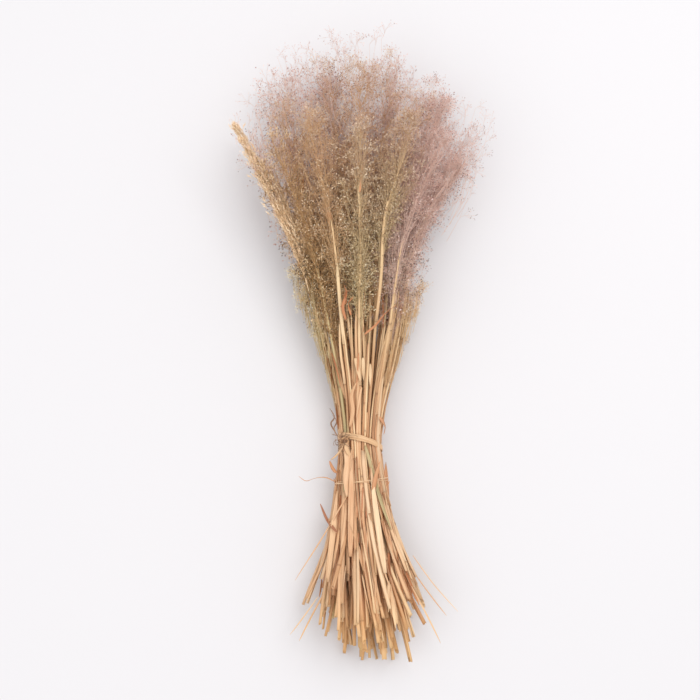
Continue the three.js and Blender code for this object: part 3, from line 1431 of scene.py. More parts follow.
class SprayKit:
    """A handful of different sprays of one habit, ready to be copied."""

    KINDS = 12
    TINTS = 6
    FLORETS = 3
    MOTTLING = 0.28

    def __init__(self, habit: Habit, rng: random.Random) -> None:
        """Grows the sprays.

        Args:
            habit: How they branch.
            rng: Makes them differ.
        """
        self.habit = habit
        self.rng = rng
        self.base = 0.0
        self.sprays = [self._grow((kind + 0.5) / self.KINDS) for kind in range(self.KINDS)]

    def _tint(self) -> float:
        """One of the tints, near that of the spray that is being grown."""
        share = min(1.0, max(0.0, self.base + self.rng.gauss(0, self.MOTTLING)))
        return round(mix(*self.habit.tints, share) * (self.TINTS - 1)) / (self.TINTS - 1)

    def _aside(self, ahead: Vector, angle: float) -> Vector:
        """A direction at an angle from another, turned any way round it.

        Args:
            ahead: The other direction.
            angle: The angle, in radians.

        Returns:
            The new direction.
        """
        side = ahead.orthogonal().normalized()
        side.rotate(Matrix.Rotation(self.rng.uniform(0, TURN), 3, ahead))
        return ahead * math.cos(angle) + side * math.sin(angle)

    def _grow(self, base: float) -> bpy.types.Mesh:
        """Grows one spray along +Z from the origin.

        Args:
            base: The tint, 0 to 1, that its tints are near.

        Returns:
            The spray's mesh.
        """
        self.base = base
        built = bmesh.new()
        threads = Threads.on(built)
        hair, size, steps = self.habit.hair, self.habit.size, 4
        bend = Matrix.Rotation(self.habit.curl * self.rng.uniform(0.4, 1.2) / steps, 3,
                               self._aside(UP, TURN / 4))
        ahead = UP.copy()
        points = [Vector()]
        for _ in range(steps):
            points.append(points[-1] + ahead * size / steps)
            ahead.rotate(bend)
        threads.thread(points, hair * 1.9, hair * 1.2, self._tint())
        for fork in range(self.habit.forks):
            spot = steps * mix(0.2, 0.999, (fork + 1) / self.habit.forks)
            low = int(spot)
            base = points[low].lerp(points[min(low + 1, steps)], spot - low)
            way = (points[min(low + 1, steps)] - points[min(low, steps - 1)]).normalized()
            self._fork(threads, base, way)
        threads.close()
        mesh = bpy.data.meshes.new("spray")
        built.to_mesh(mesh)
        built.free()
        return mesh

    def _fork(self, threads: Threads, base: Vector, way: Vector) -> None:
        """Grows a side twig with its spikelets.

        Args:
            threads: Where to add it.
            base: Where it starts.
            way: The direction of the twig it springs from.
        """
        habit, rng = self.habit, self.rng
        out = self._aside(way, habit.open * rng.uniform(0.5, 1.1))
        tip = base + out * habit.size * rng.uniform(0.45, 0.85)
        threads.twig(base, tip, habit.hair * 1.3, habit.hair, self._tint())
        for floret in range(self.FLORETS):
            foot = base.lerp(tip, mix(0.35, 1.0, (floret + 1) / self.FLORETS))
            away = self._aside(out, habit.open * rng.uniform(0.4, 1.1))
            end = foot + away * habit.size * rng.uniform(0.2, 0.45)
            tint = self._tint()
            turned = threads.twig(foot, end, habit.hair, 0.0, tint)
            length, width = [size * rng.uniform(0.8, 1.2) for size in habit.grain]
            threads.spikelet(end, turned, length, width, tint)

    def place(
        self, built: bmesh.types.BMesh, at: Vector, ahead: Vector, scale: float, light: float
    ) -> None:
        """Copies one of the sprays to a place.

        Args:
            built: The mesh to add it to.
            at: Its foot.
            ahead: The way it grows.
            scale: Its size.
            light: Its painted light and shade, from 0, painted shade deep in the bundle, to 1, painted
                light on its upper side.
        """
        turned = ahead.to_track_quat("Z", "Y").to_matrix().to_4x4()
        spin = Matrix.Rotation(self.rng.uniform(0, TURN), 4, "Z")
        share = min(0.999, max(0.0, light + self.rng.gauss(0, 0.27)))
        copy = self.sprays[int(share * self.KINDS)].copy()
        copy.transform(Matrix.Translation(at) @ turned @ spin @ Matrix.Scale(scale, 4))
        built.from_mesh(copy)
        bpy.data.meshes.remove(copy)


@dataclass
class Head:
    """One head: its stem's last stretch, its branches and their sprays.

    Attributes:
        node: The CAD head.
        slot: The record's material slot.
        kit: Its sprays, and the habit that it branches by.
        rng: Makes it differ from the others.
        finish: What it is made of.
    """

    node: str
    slot: str
    kit: SprayKit
    rng: random.Random
    finish: Finish

    CHART_WIDTH = 170 * MM
    STRAYS = 0.1
    CROWDING = 0.74

    def __post_init__(self) -> None:
        """Measures the head's room."""
        self.room = Course.of(self.node)
        self.foot, top = float(self.room.y[0]), float(self.room.y[-1])
        middle = self.room.middle(mix(self.foot, top, 0.6))
        across, up = CAD_BOX[1][0], CAD_BOX[1][2] / 2
        self.outward = Vector((middle.x / across, 0, middle.z / up - 1)) * self.CROWDING
        self.habit = self.kit.habit
        self.length = (top - self.foot) * (self.habit.top - self.habit.rounding * abs(self.outward.x))
        self.tip = self.foot + self.length
        self.line = self.room.reaching(self.foot - 10 * MM, self.tip + 40 * MM).drawn_in()
        self.line.z += self.habit.raised

    def reach(self, y: float) -> tuple[float, float]:
        """How far the branches reach.

        Args:
            y: The distance along Y.

        Returns:
            The reach across X and Z there.
        """
        share = (y - self.foot) / self.length
        full_until = self.habit.full_until
        across, up = self.room.room(min(y, self.foot + full_until * self.length))
        over = max(0.0, share - full_until) / (1.06 - full_until)
        rounding = math.sqrt(max(0.0, 1 - over * over))
        return across * rounding * self.habit.spread, up * rounding * self.habit.spread

    def build(self) -> None:
        """Grows the head."""
        threads = Threads.on(bmesh.new())
        middle = [self.line.middle(self.foot + self.length * i / 12 - 3 * MM) for i in range(13)]
        threads.thread(middle, 0.6 * MM, 0.14 * MM, 0.8)
        sprays = []
        for whorl in range(self.habit.whorls):
            share = ((whorl + self.rng.uniform(0.1, 0.9)) / self.habit.whorls) ** 1.3
            turn = self.rng.uniform(0, TURN)
            for branch in range(self.habit.branches):
                way = turn + (branch + self.rng.gauss(0, 0.2)) * TURN / self.habit.branches
                sprays += self._branch(threads, share, way)
        left = self.room.middle((self.foot + self.tip) / 2).x - self.CHART_WIDTH / 2
        covers = (left, self.foot - 30 * MM, self.CHART_WIDTH, self.length + 80 * MM)
        place_cloud(self.node, threads, sprays, self.kit, self.finish, self.slot, covers, self.node)

    def _painted_light(self, at: Vector, out: float, t: float, share: float) -> float:
        """The spray's painted light and shade: lighter far out, high up, at the bundle's sides and near the
        tip, darker deep in the bundle.
        """
        side = ease(0.55, 0.95, abs(at.x) / CAD_BOX[1][0])
        return 0.4 * out * t + 0.5 * at.z / CAD_BOX[1][2] + 0.3 * side + 0.3 * ease(0.7, 1.0, share)

    def _branch(self, threads: Threads, share: float, turn: float) -> list[Spray]:
        """Grows one branch.

        Args:
            threads: Where to add it.
            share: How far up the head it starts.
            turn: Its way out, round the head's middle line.

        Returns:
            Its sprays.
        """
        rng, habit = self.rng, self.habit
        start = self.foot + share * self.length * 0.95
        advance = habit.advance * mix(1.0, 0.5, share) * rng.uniform(0.6, 1.15)
        advance = min(advance, self.tip - start)
        out = rng.uniform(0.15, 1.0) ** 0.8
        stray = rng.random() < self.STRAYS * habit.lean
        if stray:
            out = rng.uniform(1.1, 1.5)
        bend = rng.gauss(0, 0.8)
        outward = Vector((math.cos(turn), 0, math.sin(turn)))
        out *= max(0.08, 1 - self.outward.dot(outward) * 1.4)
        waves = rng.uniform(3, 9), rng.uniform(0, TURN), rng.uniform(0, 2.2) * MM
        steps = 7
        points = []
        for i in range(steps + 1):
            t = i / steps
            y = start + advance * t
            across, up = self.reach(min(y, self.tip))
            spread = out * (1 - (1 - t) ** 1.7)
            angle = turn + bend * t * t
            wave = t * waves[2] * math.sin(waves[0] * t + waves[1])
            points.append(self.line.middle(y) + Vector((
                math.cos(angle) * across * spread + wave * outward.z, 0,
                math.sin(angle) * up * spread - wave * outward.x)))
        threads.thread(points, 0.28 * MM, 0.12 * MM, rng.uniform(0.4, 1.0))
        hidden = 1.0 if self.outward.z < -0.15 and abs(self.outward.x) < 0.45 else 0.0
        count = 1 if stray else max(1, round(habit.sprays - hidden - 2.4 * ease(0.35, 1.0, share)))
        sprays = []
        for spray in range(count):
            t = 0.98 if spray == count - 1 else mix(0.25, 1.0, (spray + rng.uniform(0.2, 0.8)) / count)
            low = min(steps - 1, int(t * steps))
            at = points[low].lerp(points[low + 1], t * steps - low)
            ahead = (points[low + 1] - points[low]).normalized()
            loose = Vector([rng.gauss(0, 1) for _ in range(3)]) * 0.5 + outward * 0.35 - self.outward
            size = rng.uniform(0.7, 1.15) * (1 + 0.3 * hidden)
            way = (ahead + loose * habit.lean).normalized()
            sprays.append((at, way, size, self._painted_light(at, out, t, share)))
        return sprays


CHART_MARGIN = 0.02


def chart_cloud(data: bpy.types.Mesh, left: float, low: float, width: float, height: float) -> None:
    """Lays out a colour map as the sprays lie, with a field for each tint of threads and spikelets.

    Args:
        data: The finished mesh.
        left: The least place across that the map covers.
        low: The least place along.
        width: Its extent across.
        height: Its extent along.
    """
    spots = np.zeros(len(data.vertices) * 3, np.float32)
    data.vertices.foreach_get("co", spots)
    spots = spots.reshape(-1, 3)
    tints, parts = [np.zeros(len(spots), np.float32) for _ in range(2)]
    data.attributes["tint"].data.foreach_get("value", tints)
    data.attributes["part"].data.foreach_get("value", parts)
    corners = np.zeros(len(data.loops), np.int32)
    data.loops.foreach_get("vertex_index", corners)
    columns = SprayKit.TINTS
    column = np.round(tints * (columns - 1))
    across = np.clip((spots[:, 0] - left) / width, CHART_MARGIN, 1 - CHART_MARGIN)
    along = np.clip((spots[:, 1] - low) / height, CHART_MARGIN, 1 - CHART_MARGIN)
    chart = np.stack([(column + across) / columns, (np.round(parts) + along) / 2], axis=1)
    layer = data.uv_layers.new(name="OFBake")
    layer.uv.foreach_set("vector", chart[corners].astype(np.float32).ravel())


def place_cloud(
    name: str,
    threads: Threads,
    sprays: Sequence[Spray],
    kit: SprayKit,
    finish: Finish,
    slot: str,
    covers: tuple[float, float, float, float],
    *nodes: str,
) -> None:
    """Turns threads and the sprays on them into a finished piece.

    Args:
        name: The piece's name.
        threads: The threads.
        sprays: The sprays to add.
        kit: Where they are copied from.
        finish: What they are made of.
        slot: The record's material slot; not used.
        covers: What the colour map covers, as chart_cloud() takes it.
        *nodes: The CAD nodes that it stands for.
    """
    threads.close()
    for spray in sprays:
        kit.place(threads.built, *spray)
    piece = place_piece(name, threads.built, [finish.material], nodes)
    chart_cloud(piece.data, *covers)


@dataclass(frozen=True)
class Fringe:
    """Sprays that stand off one side of the neck.

    Attributes:
        name: The piece's name.
        slot: The record's material slot, which also gives the habit.
        turn: The least and the greatest angle round the sheaf, in degrees.
        along: The least and the greatest distance above the tie, in metres.
        count: How many sprays.
        lean: How far they lean out.
        reach: Where they start, as shares of the sheaf's half size.
        size: Their size.
    """

    name: str
    slot: str
    turn: tuple[float, float]
    along: tuple[float, float]
    count: int
    lean: float
    reach: tuple[float, float] = (0.9, 1.08)
    size: tuple[float, float] = (0.55, 1.0)

    def build(self, sheaf: Sheaf, kit: SprayKit, finish: Finish, rng: random.Random) -> None:
        """Grows the fringe.

        Args:
            sheaf: The sheaf that it grows on.
            kit: Its sprays.
            finish: What it is made of.
            rng: Places the sprays.
        """
        threads = Threads.on(bmesh.new())
        sprays = []
        for _ in range(self.count):
            share = rng.random() ** 0.7
            y = sheaf.tie + mix(*self.along, share)
            turn = math.radians(rng.uniform(*self.turn))
            x, z, across, up = sheaf.oval(y)
            reach = rng.uniform(*self.reach) * mix(0.86, 1.0, share)
            out = Vector((math.cos(turn), 0, math.sin(turn)))
            foot = Vector((x + across * reach * out.x, y, z + up * reach * out.z))
            loose = Vector([rng.gauss(0, 0.45) for _ in range(3)])
            ahead = (Vector((0, 1, 0)) + out * self.lean * rng.uniform(0.2, 1.2) + loose).normalized()
            below = foot - Vector((out.x * 4 * MM, 26 * MM, out.z * 4 * MM))
            threads.thread([below, foot.lerp(below, 0.5) + out * MM, foot], 0.24 * MM, 0.14 * MM, 0.8)
            size = rng.uniform(*self.size) * mix(0.5, 1.0, share)
            sprays.append((foot, ahead, size, rng.uniform(0.4, 1.1)))
        covers = (CAD_BOX[0][0], sheaf.tie, 2 * CAD_BOX[1][0], 250 * MM)
        place_cloud(self.name, threads, sprays, kit, finish, self.slot, covers)


@dataclass(frozen=True)
class Haze:
    """The sparse outermost sprays, which veil the tops of the heads.

    Attributes:
        name: The piece's name.
        slot: The record's material slot, which also gives the habit.
        count: How many threads carry its sprays.
        outline: Angles from +Y towards +X, in degrees, and how far the haze reaches from the tie.
        depth: How far down from there it begins.
        height: The least and the greatest height of the sprays.
        thread: The least and the greatest length of the threads, in millimetres.
    """

    name: str = "top_haze"
    slot: str = "head_mauve"
    count: int = 170
    outline: tuple[tuple[float, float], ...] = (
        (-21, 325 * MM), (-18, 352 * MM), (-11, 390 * MM), (-4, 402 * MM), (3, 398 * MM),
        (8, 378 * MM), (14, 362 * MM), (20, 352 * MM), (24, 325 * MM),
    )
    depth: float = 80 * MM
    height: tuple[float, float] = (34 * MM, 96 * MM)
    thread: tuple[float, float] = (35, 60)

    def build(self, sheaf: Sheaf, kit: SprayKit, finish: Finish, rng: random.Random) -> None:
        """Grows the haze.

        Args:
            sheaf: The sheaf that it grows on.
            kit: Its sprays.
            finish: What it is made of.
            rng: Places the sprays.
        """
        threads = Threads.on(bmesh.new())
        angles, reaches = zip(*self.outline)
        sprays = []
        for _ in range(self.count):
            angle = rng.uniform(angles[0], angles[-1])
            reach = float(np.interp(angle, angles, reaches)) - self.depth * rng.random() ** 0.9
            out = Vector((math.sin(math.radians(angle)), math.cos(math.radians(angle)), 0))
            tip = Vector((0, sheaf.tie, 0)) + out * reach + UP * rng.uniform(*self.height)
            stray = Vector([rng.gauss(0, 1) for _ in range(3)])
            foot = tip - out * rng.uniform(*self.thread) * MM + stray * 5 * MM
            bent = foot.lerp(tip, 0.55) + stray.cross(out) * 2.5 * MM
            threads.thread([foot, foot.lerp(bent, 0.6), bent, tip], 0.2 * MM, 0.1 * MM, 0.8)
            for at in (tip, bent)[:1 if rng.random() < 0.6 else 2]:
                loose = Vector([rng.gauss(0, 0.5) for _ in range(3)])
                sprays.append((at, (out + loose).normalized(), rng.uniform(0.6, 1.1), rng.random()))
        covers = (CAD_BOX[0][0], 100 * MM, 2 * CAD_BOX[1][0], 240 * MM)
        place_cloud(self.name, threads, sprays, kit, finish, self.slot, covers)


@dataclass
class Heads:
    """All the heads, the haze round their tops, and the sprays that stand off the neck."""

    sheaf: Sheaf
    seed: int = 5
    fringes: tuple[Fringe, ...] = (
        Fringe("left_fringe", "head_sage", (140, 200), (52 * MM, 165 * MM), 190, 0.85, (0.82, 1.0)),
        Fringe("right_fringe", "head_olive", (-28, 42), (54 * MM, 150 * MM), 130, 1.0, (0.84, 1.02)),
    )
    haze: Haze = Haze()

    def build(self) -> None:
        """Grows a head for each CAD head."""
        slots = {part["node"]: part["material_slot"] for part in frame["record"]["subparts"]}
        kits = {
            slot: SprayKit(habit, random.Random(self.seed + i))
            for i, (slot, (_, habit)) in enumerate(HABITS.items())
        }
        looser = SprayKit(OPEN_WHEAT, random.Random(self.seed + 9))
        for number, node in enumerate(sorted(n for n in slots if n.startswith("head_"))):
            slot = slots[node]
            rng = random.Random(self.seed * 1000 + number)
            if node in OPEN_WHEAT_HEADS:
                Head(node, slot, looser, rng, Finish.OPEN_WHEAT).build()
            else:
                Head(node, slot, kits[slot], rng, HABITS[slot][0]).build()
        for fringe in (*self.fringes, self.haze):
            fringe.build(self.sheaf, kits[fringe.slot], HABITS[fringe.slot][0], random.Random(self.seed))
        for kit in (*kits.values(), looser):
            for mesh in kit.sprays:
                bpy.data.meshes.remove(mesh)


# ---------------------------------------------------------------------------------------------
# The tie


@dataclass
class Tie:
    """The straw band, its knot, and the thin thread below it.

    Attributes:
        seed: Makes the knot what it is.
        band_half_width: Half the band's width.
        slope: How much nearer the cut ends the band is at +X than in the middle.
        thread_half_width: Half the thread's thickness.
        knot_loops: Loops of straw in the knot.
        knot_fibres: Dark fibres in it.
    """

    seed: int = 21
    band_half_width: float = 2.2 * MM
    slope: float = 5.5 * MM
    thread_half_width: float = 0.45 * MM
    knot_loops: int = 4
    knot_fibres: int = 30

    def _ring(self, node: str, steps: int, slope: float, proud: float) -> list[Vector]:
        """Points round the sheaf where a CAD ring is, the last one being the first again.

        Args:
            node: The CAD ring.
            steps: How many points.
            slope: How much nearer the cut ends it is at +X than in the middle.
            proud: How far outside the ring's own middle line.

        Returns:
            The points.
        """
        low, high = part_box(node)
        middle, half = (low + high) / 2, (high - low) / 2
        points = []
        for i in range(steps):
            turn = i / steps * TURN
            lift = 0.35 * MM * math.sin(5 * turn + 1) + proud
            points.append(Vector((
                middle.x + (half.x + lift) * math.cos(turn),
                middle.y - slope * math.cos(turn) + slope * 0.75 * math.sin(turn),
                middle.z + (half.z + lift) * math.sin(turn),
            )))
        return points + [points[0].copy()]

    @staticmethod
    def _hoop(
        piece: StrandPiece, points: list[Vector], width: float, thick: float, tint: float
    ) -> None:
        """Adds a closed flat strip round the sheaf.

        Args:
            piece: The piece to add to.
            points: Its line, the last point being the first again.
            width: Half its width, along Y.
            thick: Half its thickness.
            tint: Its place in the finish's row of colours.
        """
        low, high = Vector(map(min, *points)), Vector(map(max, *points))
        middle = (low + high) / 2
        rows = []
        for point in points:
            out = Vector((point.x - middle.x, 0, point.z - middle.z)).normalized()
            rows.append(Row(point, Vector((0, 1, 0)), out))

        def section(i: int, around: float) -> tuple[float, float, float]:
            """A flattened oval with soft folds along it."""
            turn = around * TURN
            vary = 1 + 0.12 * math.sin(i * 0.8) + 0.08 * math.sin(i * 2.1 + 1)
            crease = 0.3 * thick * math.cos(3 * turn)
            return width * vary * math.cos(turn), (thick + crease) * math.sin(turn), 0.0

        piece.add(rows, section, 14, Finish.BAND, tint)

    def build(self) -> None:
        """Makes the band, the knot and the thread."""
        rng = random.Random(self.seed)
        band = StrandPiece("tie_band", 4)
        ring = self._ring("tie_band", 72, self.slope, 0.0)
        self._hoop(band, ring, self.band_half_width, 0.42 * MM, 0.6)
        beside = [point + Vector((0, -self.band_half_width * 1.1, 0)) for point in
                  self._ring("tie_band", 72, self.slope * 0.92, -0.1 * MM)]
        self._hoop(band, beside, self.band_half_width * 0.42, 0.3 * MM, 0.3)
        band.finish("band", "tie_band")
        self._knot(rng)
        thread = StrandPiece("lower_thread", 2)
        ring = self._ring("lower_thread", 60, -3 * MM, 0.2 * MM)
        self._hoop(thread, ring, self.thread_half_width, 0.35 * MM, 1.0)
        ring = [point + Vector((0, -1.6 * MM + 0.8 * MM * math.sin(i * 0.35), 0)) for i, point in
                enumerate(self._ring("lower_thread", 60, -1 * MM, 0.25 * MM))]
        ring[-1] = ring[0].copy()
        self._hoop(thread, ring, self.thread_half_width * 0.7, 0.3 * MM, 0.8)
        thread.finish("thread", "lower_thread")

    def _knot(self, rng: random.Random) -> None:
        """Makes the knot: loops over each other, dark frayed fibres, and two loose ends.

        Args:
            rng: Makes them differ.
        """
        low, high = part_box("tie_knot")
        middle = (low + high) / 2
        piece = StrandPiece("tie_knot", 40)
        for _ in range(self.knot_loops):
            tilt = rng.uniform(-0.8, 0.8)
            wide, tall = rng.uniform(2.6, 4.2) * MM, rng.uniform(1.6, 2.6) * MM
            points = []
            for i in range(25):
                turn = i / 24 * TURN
                spot = Vector((wide * math.cos(turn), tall * 1.3 * math.sin(turn),
                               tall * math.sin(turn + tilt) * 0.8))
                points.append(middle + spot)
            self._loop(piece, points, 0.8 * MM, rng.uniform(0.0, 0.7))
        for _ in range(self.knot_fibres):
            self._fibre(piece, middle, rng, rng.uniform(8, 20) * MM, rng.uniform(0.0, 0.7))
        for side in (-1, 1):
            start = middle + Vector((side * 1.5 * MM, -2 * MM, 1 * MM))
            points = []
            for i in range(10):
                t = i / 9
                points.append(start + Vector((side * 10 * t * t * MM - 2 * t * MM, -16 * t * MM,
                                              (2 + 5 * t - 9 * t * t) * MM)))
            ribbon(piece, points, 1.9 * MM, rng, Finish.BAND, 0.6, 0.4 * MM, 1.2)
        piece.finish("band", "tie_knot")

    @staticmethod
    def _loop(piece: StrandPiece, points: list[Vector], radius: float, tint: float) -> None:
        """Adds a small closed loop of straw.

        Args:
            piece: The piece to add to.
            points: Its line, the last point being the first again.
            radius: Half its greater thickness.
            tint: Its place in the finish's row of colours.
        """
        rows = frame_rows(points)
        rows[-1] = rows[0]

        def section(i: int, around: float) -> tuple[float, float, float]:
            """An oval."""
            return radius * math.cos(around * TURN), 0.6 * radius * math.sin(around * TURN), 0.0

        piece.add(rows, section, 8, Finish.BAND, tint)

    @staticmethod
    def _fibre(
        piece: StrandPiece, middle: Vector, rng: random.Random, length: float, tint: float
    ) -> None:
        """Adds one curly dark fibre that starts in the knot.

        Args:
            piece: The piece to add to.
            middle: The knot's middle.
            rng: Chooses its way.
            length: Its length.
            tint: Its place in the finish's row of colours.
        """
        point = middle + Vector([rng.gauss(0, 1.6) for _ in range(3)]) * MM
        ahead = Vector((rng.gauss(-0.6, 0.6), rng.gauss(0.2, 0.9), rng.gauss(0.2, 0.5))).normalized()
        curl = Vector([rng.gauss(0, 1) for _ in range(3)]).normalized()
        points = [point]
        steps = 11
        for _ in range(steps):
            ahead.rotate(Matrix.Rotation(rng.gauss(0.25, 0.25), 3, curl))
            point = point + ahead * (length / steps)
            points.append(point)
        round_strand(piece, points, 0.34 * MM, Finish.KNOT, tint)


def round_strand(
    piece: StrandPiece, points: Sequence[Vector], radius: float, finish: Finish, tint: float
) -> None:
    """Adds a thin round strand along a line, which narrows to its end.

    Args:
        piece: The piece to add to.
        points: The line.
        radius: Its radius where it starts.
        finish: What it is made of.
        tint: Its place in the finish's row of colours.
    """
    rows = capped_rows(points)
    last = len(rows) - 1

    def section(i: int, around: float) -> tuple[float, float, float]:
        """A round ring, smaller towards the end."""
        reach = 0.0 if i in (0, last) else radius * mix(1.0, 0.5, i / last)
        return reach * math.cos(around * TURN), reach * math.sin(around * TURN), 0.0

    piece.add(rows, section, 5, finish, tint)


# ---------------------------------------------------------------------------------------------
# Loose leaves


@dataclass(frozen=True)
class Blade:
    """A leaf or strip that lies on the sheaf.

    Attributes:
        path: Places across and along from the tie's middle, in millimetres.
        half_width: Half its width, in metres.
        tint: Its place in the finish's row of colours.
        clear: Height of its two ends above the sheaf, in metres.
        finish: What it is made of.
        fold: Depth of the fold along it, as a share of the half width.
        twist: How far it twists, in radians, at most.
    """

    path: tuple[tuple[float, float], ...]
    half_width: float
    tint: float
    clear: tuple[float, float] = (1.5 * MM, 1.5 * MM)
    finish: Finish = Finish.LEAF
    fold: float = 0.3
    twist: float = 0.5


LOOSE = (
    Blade(
        ((-14, 2), (-11, -20), (-13, -36), (-12, -54)),
        3.4 * MM, 0.8, (3 * MM, 3 * MM), Finish.SHEATH, 0.2, 0.2,
    ),
    Blade(
        ((-24, -38), (-33, -34), (-44, -35), (-52, -38), (-59, -33)),
        0.7 * MM, 0.75, (0, 4 * MM), twist=4.0,
    ),
    Blade(
        ((-10, -50), (-34, -90), (-62, -134)),
        0.75 * MM, 0.8, (0.5 * MM, 6 * MM), Finish.SHEATH, 0.1,
    ),
    Blade(((-22, -88), (-31, -76), (-38, -60)), 1.4 * MM, 0.1, (1 * MM, 5 * MM)),
    Blade(((-22, -30), (-26, -25), (-29, -18)), 1.6 * MM, 0.6, (1 * MM, 5 * MM)),
    Blade(((5, 102), (16, 111), (24, 121), (36, 130)), 1.2 * MM, 0.5, (2 * MM, 8 * MM), twist=2.5),
    Blade(
        ((-13, 116), (-16, 128), (-12, 140), (-15, 148)),
        1.5 * MM, 0.4, (2 * MM, 9 * MM), twist=3.0,
    ),
    Blade(
        ((-18, 128), (-12, 133), (-15, 139), (-8, 143)),
        1.3 * MM, 0.3, (3 * MM, 10 * MM), twist=4.0,
    ),
    Blade(((-8, 120), (-11, 130), (-6, 136)), 1.2 * MM, 0.5, (3 * MM, 9 * MM), twist=3.0),
    Blade(
        ((-23, 10), (-28, 19), (-24, 25), (-29, 34)),
        0.7 * MM, 0.4, (0, 2 * MM), Finish.KNOT, twist=5.0,
    ),
    Blade(
        ((-21, 6), (-25, 14), (-22, 20), (-26, 27)),
        0.6 * MM, 0.6, (1 * MM, 3 * MM), Finish.KNOT, twist=5.0,
    ),
    Blade(
        ((-9, 14), (-6, 30), (-8, 44), (-3, 56)),
        1.9 * MM, 0.85, (1 * MM, 4 * MM), Finish.SHEATH, 0.5, 1.5,
    ),
    Blade(((20, 24), (25, 16), (24, 8)), 1.7 * MM, 0.6, (1 * MM, 5 * MM), twist=2.0),
    Blade(
        ((6, -4), (14, -34), (22, -62), (31, -86)),
        1.8 * MM, 0.88, (1 * MM, 1 * MM), Finish.STEM, 0.3, 0.3,
    ),
    Blade(((-36, -150), (-50, -176), (-58, -192)), 0.8 * MM, 0.8, (0, -8 * MM), Finish.SHEATH, 0.2),
    Blade(((-40, -150), (-56, -172), (-67, -186)), 0.6 * MM, 0.6, (0, -6 * MM), Finish.SHEATH, 0.2),
    Blade(((52, -110), (72, -138), (95, -164)), 0.55 * MM, 0.7, (0, 4 * MM), Finish.SHEATH, 0.2),
    Blade(((54, -128), (70, -150), (84, -168)), 0.6 * MM, 0.8, (0, 2 * MM), Finish.SHEATH, 0.2),
    Blade(((50, -140), (66, -170), (78, -194)), 0.7 * MM, 0.5, (0, 2 * MM), Finish.SHEATH, 0.2),
)


@dataclass
class Leaves:
    """The three leaves of the frame, the loose ones round them, and the scraps among the stems.

    Attributes:
        sheaf: The sheaf that they lie on.
        seed: Makes them what they are.
        own_half_width: Half the width of the frame's three leaves.
        scraps: How many scraps. Every fourth one is above the tie.
        scraps_above: Where those are, from the tie, in millimetres.
        scraps_below: Where the others are.
        scrap_length: Their least and greatest length, in millimetres.
    """

    sheaf: Sheaf
    seed: int = 31
    own_half_width: float = 2.9 * MM
    scraps: int = 84
    scraps_above: tuple[float, float] = (15, 100)
    scraps_below: tuple[float, float] = (-140, -25)
    scrap_length: tuple[float, float] = (14, 48)

    def build(self) -> None:
        """Makes them all."""
        rng = random.Random(self.seed)
        for name, tint in (("leaf_1", 0.85), ("leaf_2", 0.7), ("leaf_3", 0.5)):
            course = Course.of(name)
            low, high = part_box(name)
            points = [course.middle(mix(low.y, high.y, i / 12)) + UP * 0.4 * MM for i in range(13)]
            piece = StrandPiece(name, 2)
            ribbon(piece, points, self.own_half_width, rng, Finish.SHEATH, tint, 0.3 * MM, 0.2, 0.35, 0.0)
            piece.finish("leaf", name)
        self._loose(rng)
        self._scraps(rng)

    def _loose(self, rng: random.Random) -> None:
        """Makes the loose leaves.

        Args:
            rng: Chooses how they twist.
        """
        piece = StrandPiece("loose_leaves", len(LOOSE))
        for blade in LOOSE:
            spots = [Vector((x * MM, self.sheaf.tie + y * MM, 0)) for x, y in blade.path]
            steps = 14
            points = []
            for i in range(steps + 1):
                t = i / steps
                spot = smooth_path(spots, t)
                points.append(self.sheaf.top(spot.x, spot.y, mix(*blade.clear, t)))
            ribbon(piece, soften(points), blade.half_width, rng, blade.finish, blade.tint,
                   0.3 * MM, blade.twist, blade.fold, 0.0)
        piece.finish("leaf")

    def _scraps(self, rng: random.Random) -> None:
        """Makes small torn leaves among the stems below the tie, and some in the neck above it.

        Args:
            rng: Places them.
        """
        piece = StrandPiece("leaf_scraps", self.scraps)
        for number in range(self.scraps):
            along = self.scraps_above if number % 4 == 0 else self.scraps_below
            start = self.sheaf.tie + rng.uniform(*along) * MM
            length = rng.uniform(*self.scrap_length) * MM
            turn = rng.uniform(0.05, 0.95) * math.pi
            reach = rng.uniform(0.8, 0.98)
            drift = rng.gauss(0, 0.14)
            lift = rng.uniform(-0.04, 0.12) if rng.random() < 0.4 else 0.0
            points = []
            for i in range(9):
                t = i / 8
                middle, height, across, up = self.sheaf.oval(start - length * t)
                out = reach + lift * t * t
                angle = turn + drift * t
                points.append(Vector((middle + across * out * math.cos(angle), start - length * t,
                                      height + up * out * math.sin(angle))))
            ribbon(piece, points, rng.uniform(0.6, 2.2) * MM, rng, rng.choice((Finish.LEAF, Finish.SHEATH)),
                   rng.uniform(0.2, 1.0), 0.25 * MM, 1.0, 0.4, turn - math.pi / 2)
        piece.finish("leaf")


def smooth_path(spots: Sequence[Vector], t: float) -> Vector:
    """The place a share of the way along a smooth curve through some places.

    Args:
        spots: The places.
        t: The share, 0 to 1.

    Returns:
        The place on the curve.
    """
    last = len(spots) - 1
    at = min(last - 1, int(t * last))
    u = t * last - at
    before, start, end, after = [spots[min(max(at + i, 0), last)] for i in (-1, 0, 1, 2)]
    return 0.5 * (
        2 * start + (end - before) * u + (2 * before - 5 * start + 4 * end - after) * u * u
        + (3 * start - before - 3 * end + after) * u ** 3
    )


def soften(points: Sequence[Vector]) -> list[Vector]:
    """The points with each inner one moved towards the middle of its neighbours."""
    inner = [(a + 2 * b + c) / 4 for a, b, c in zip(points, points[1:], points[2:])]
    return [points[0], *inner, points[-1]]


# ---------------------------------------------------------------------------------------------
# Studio


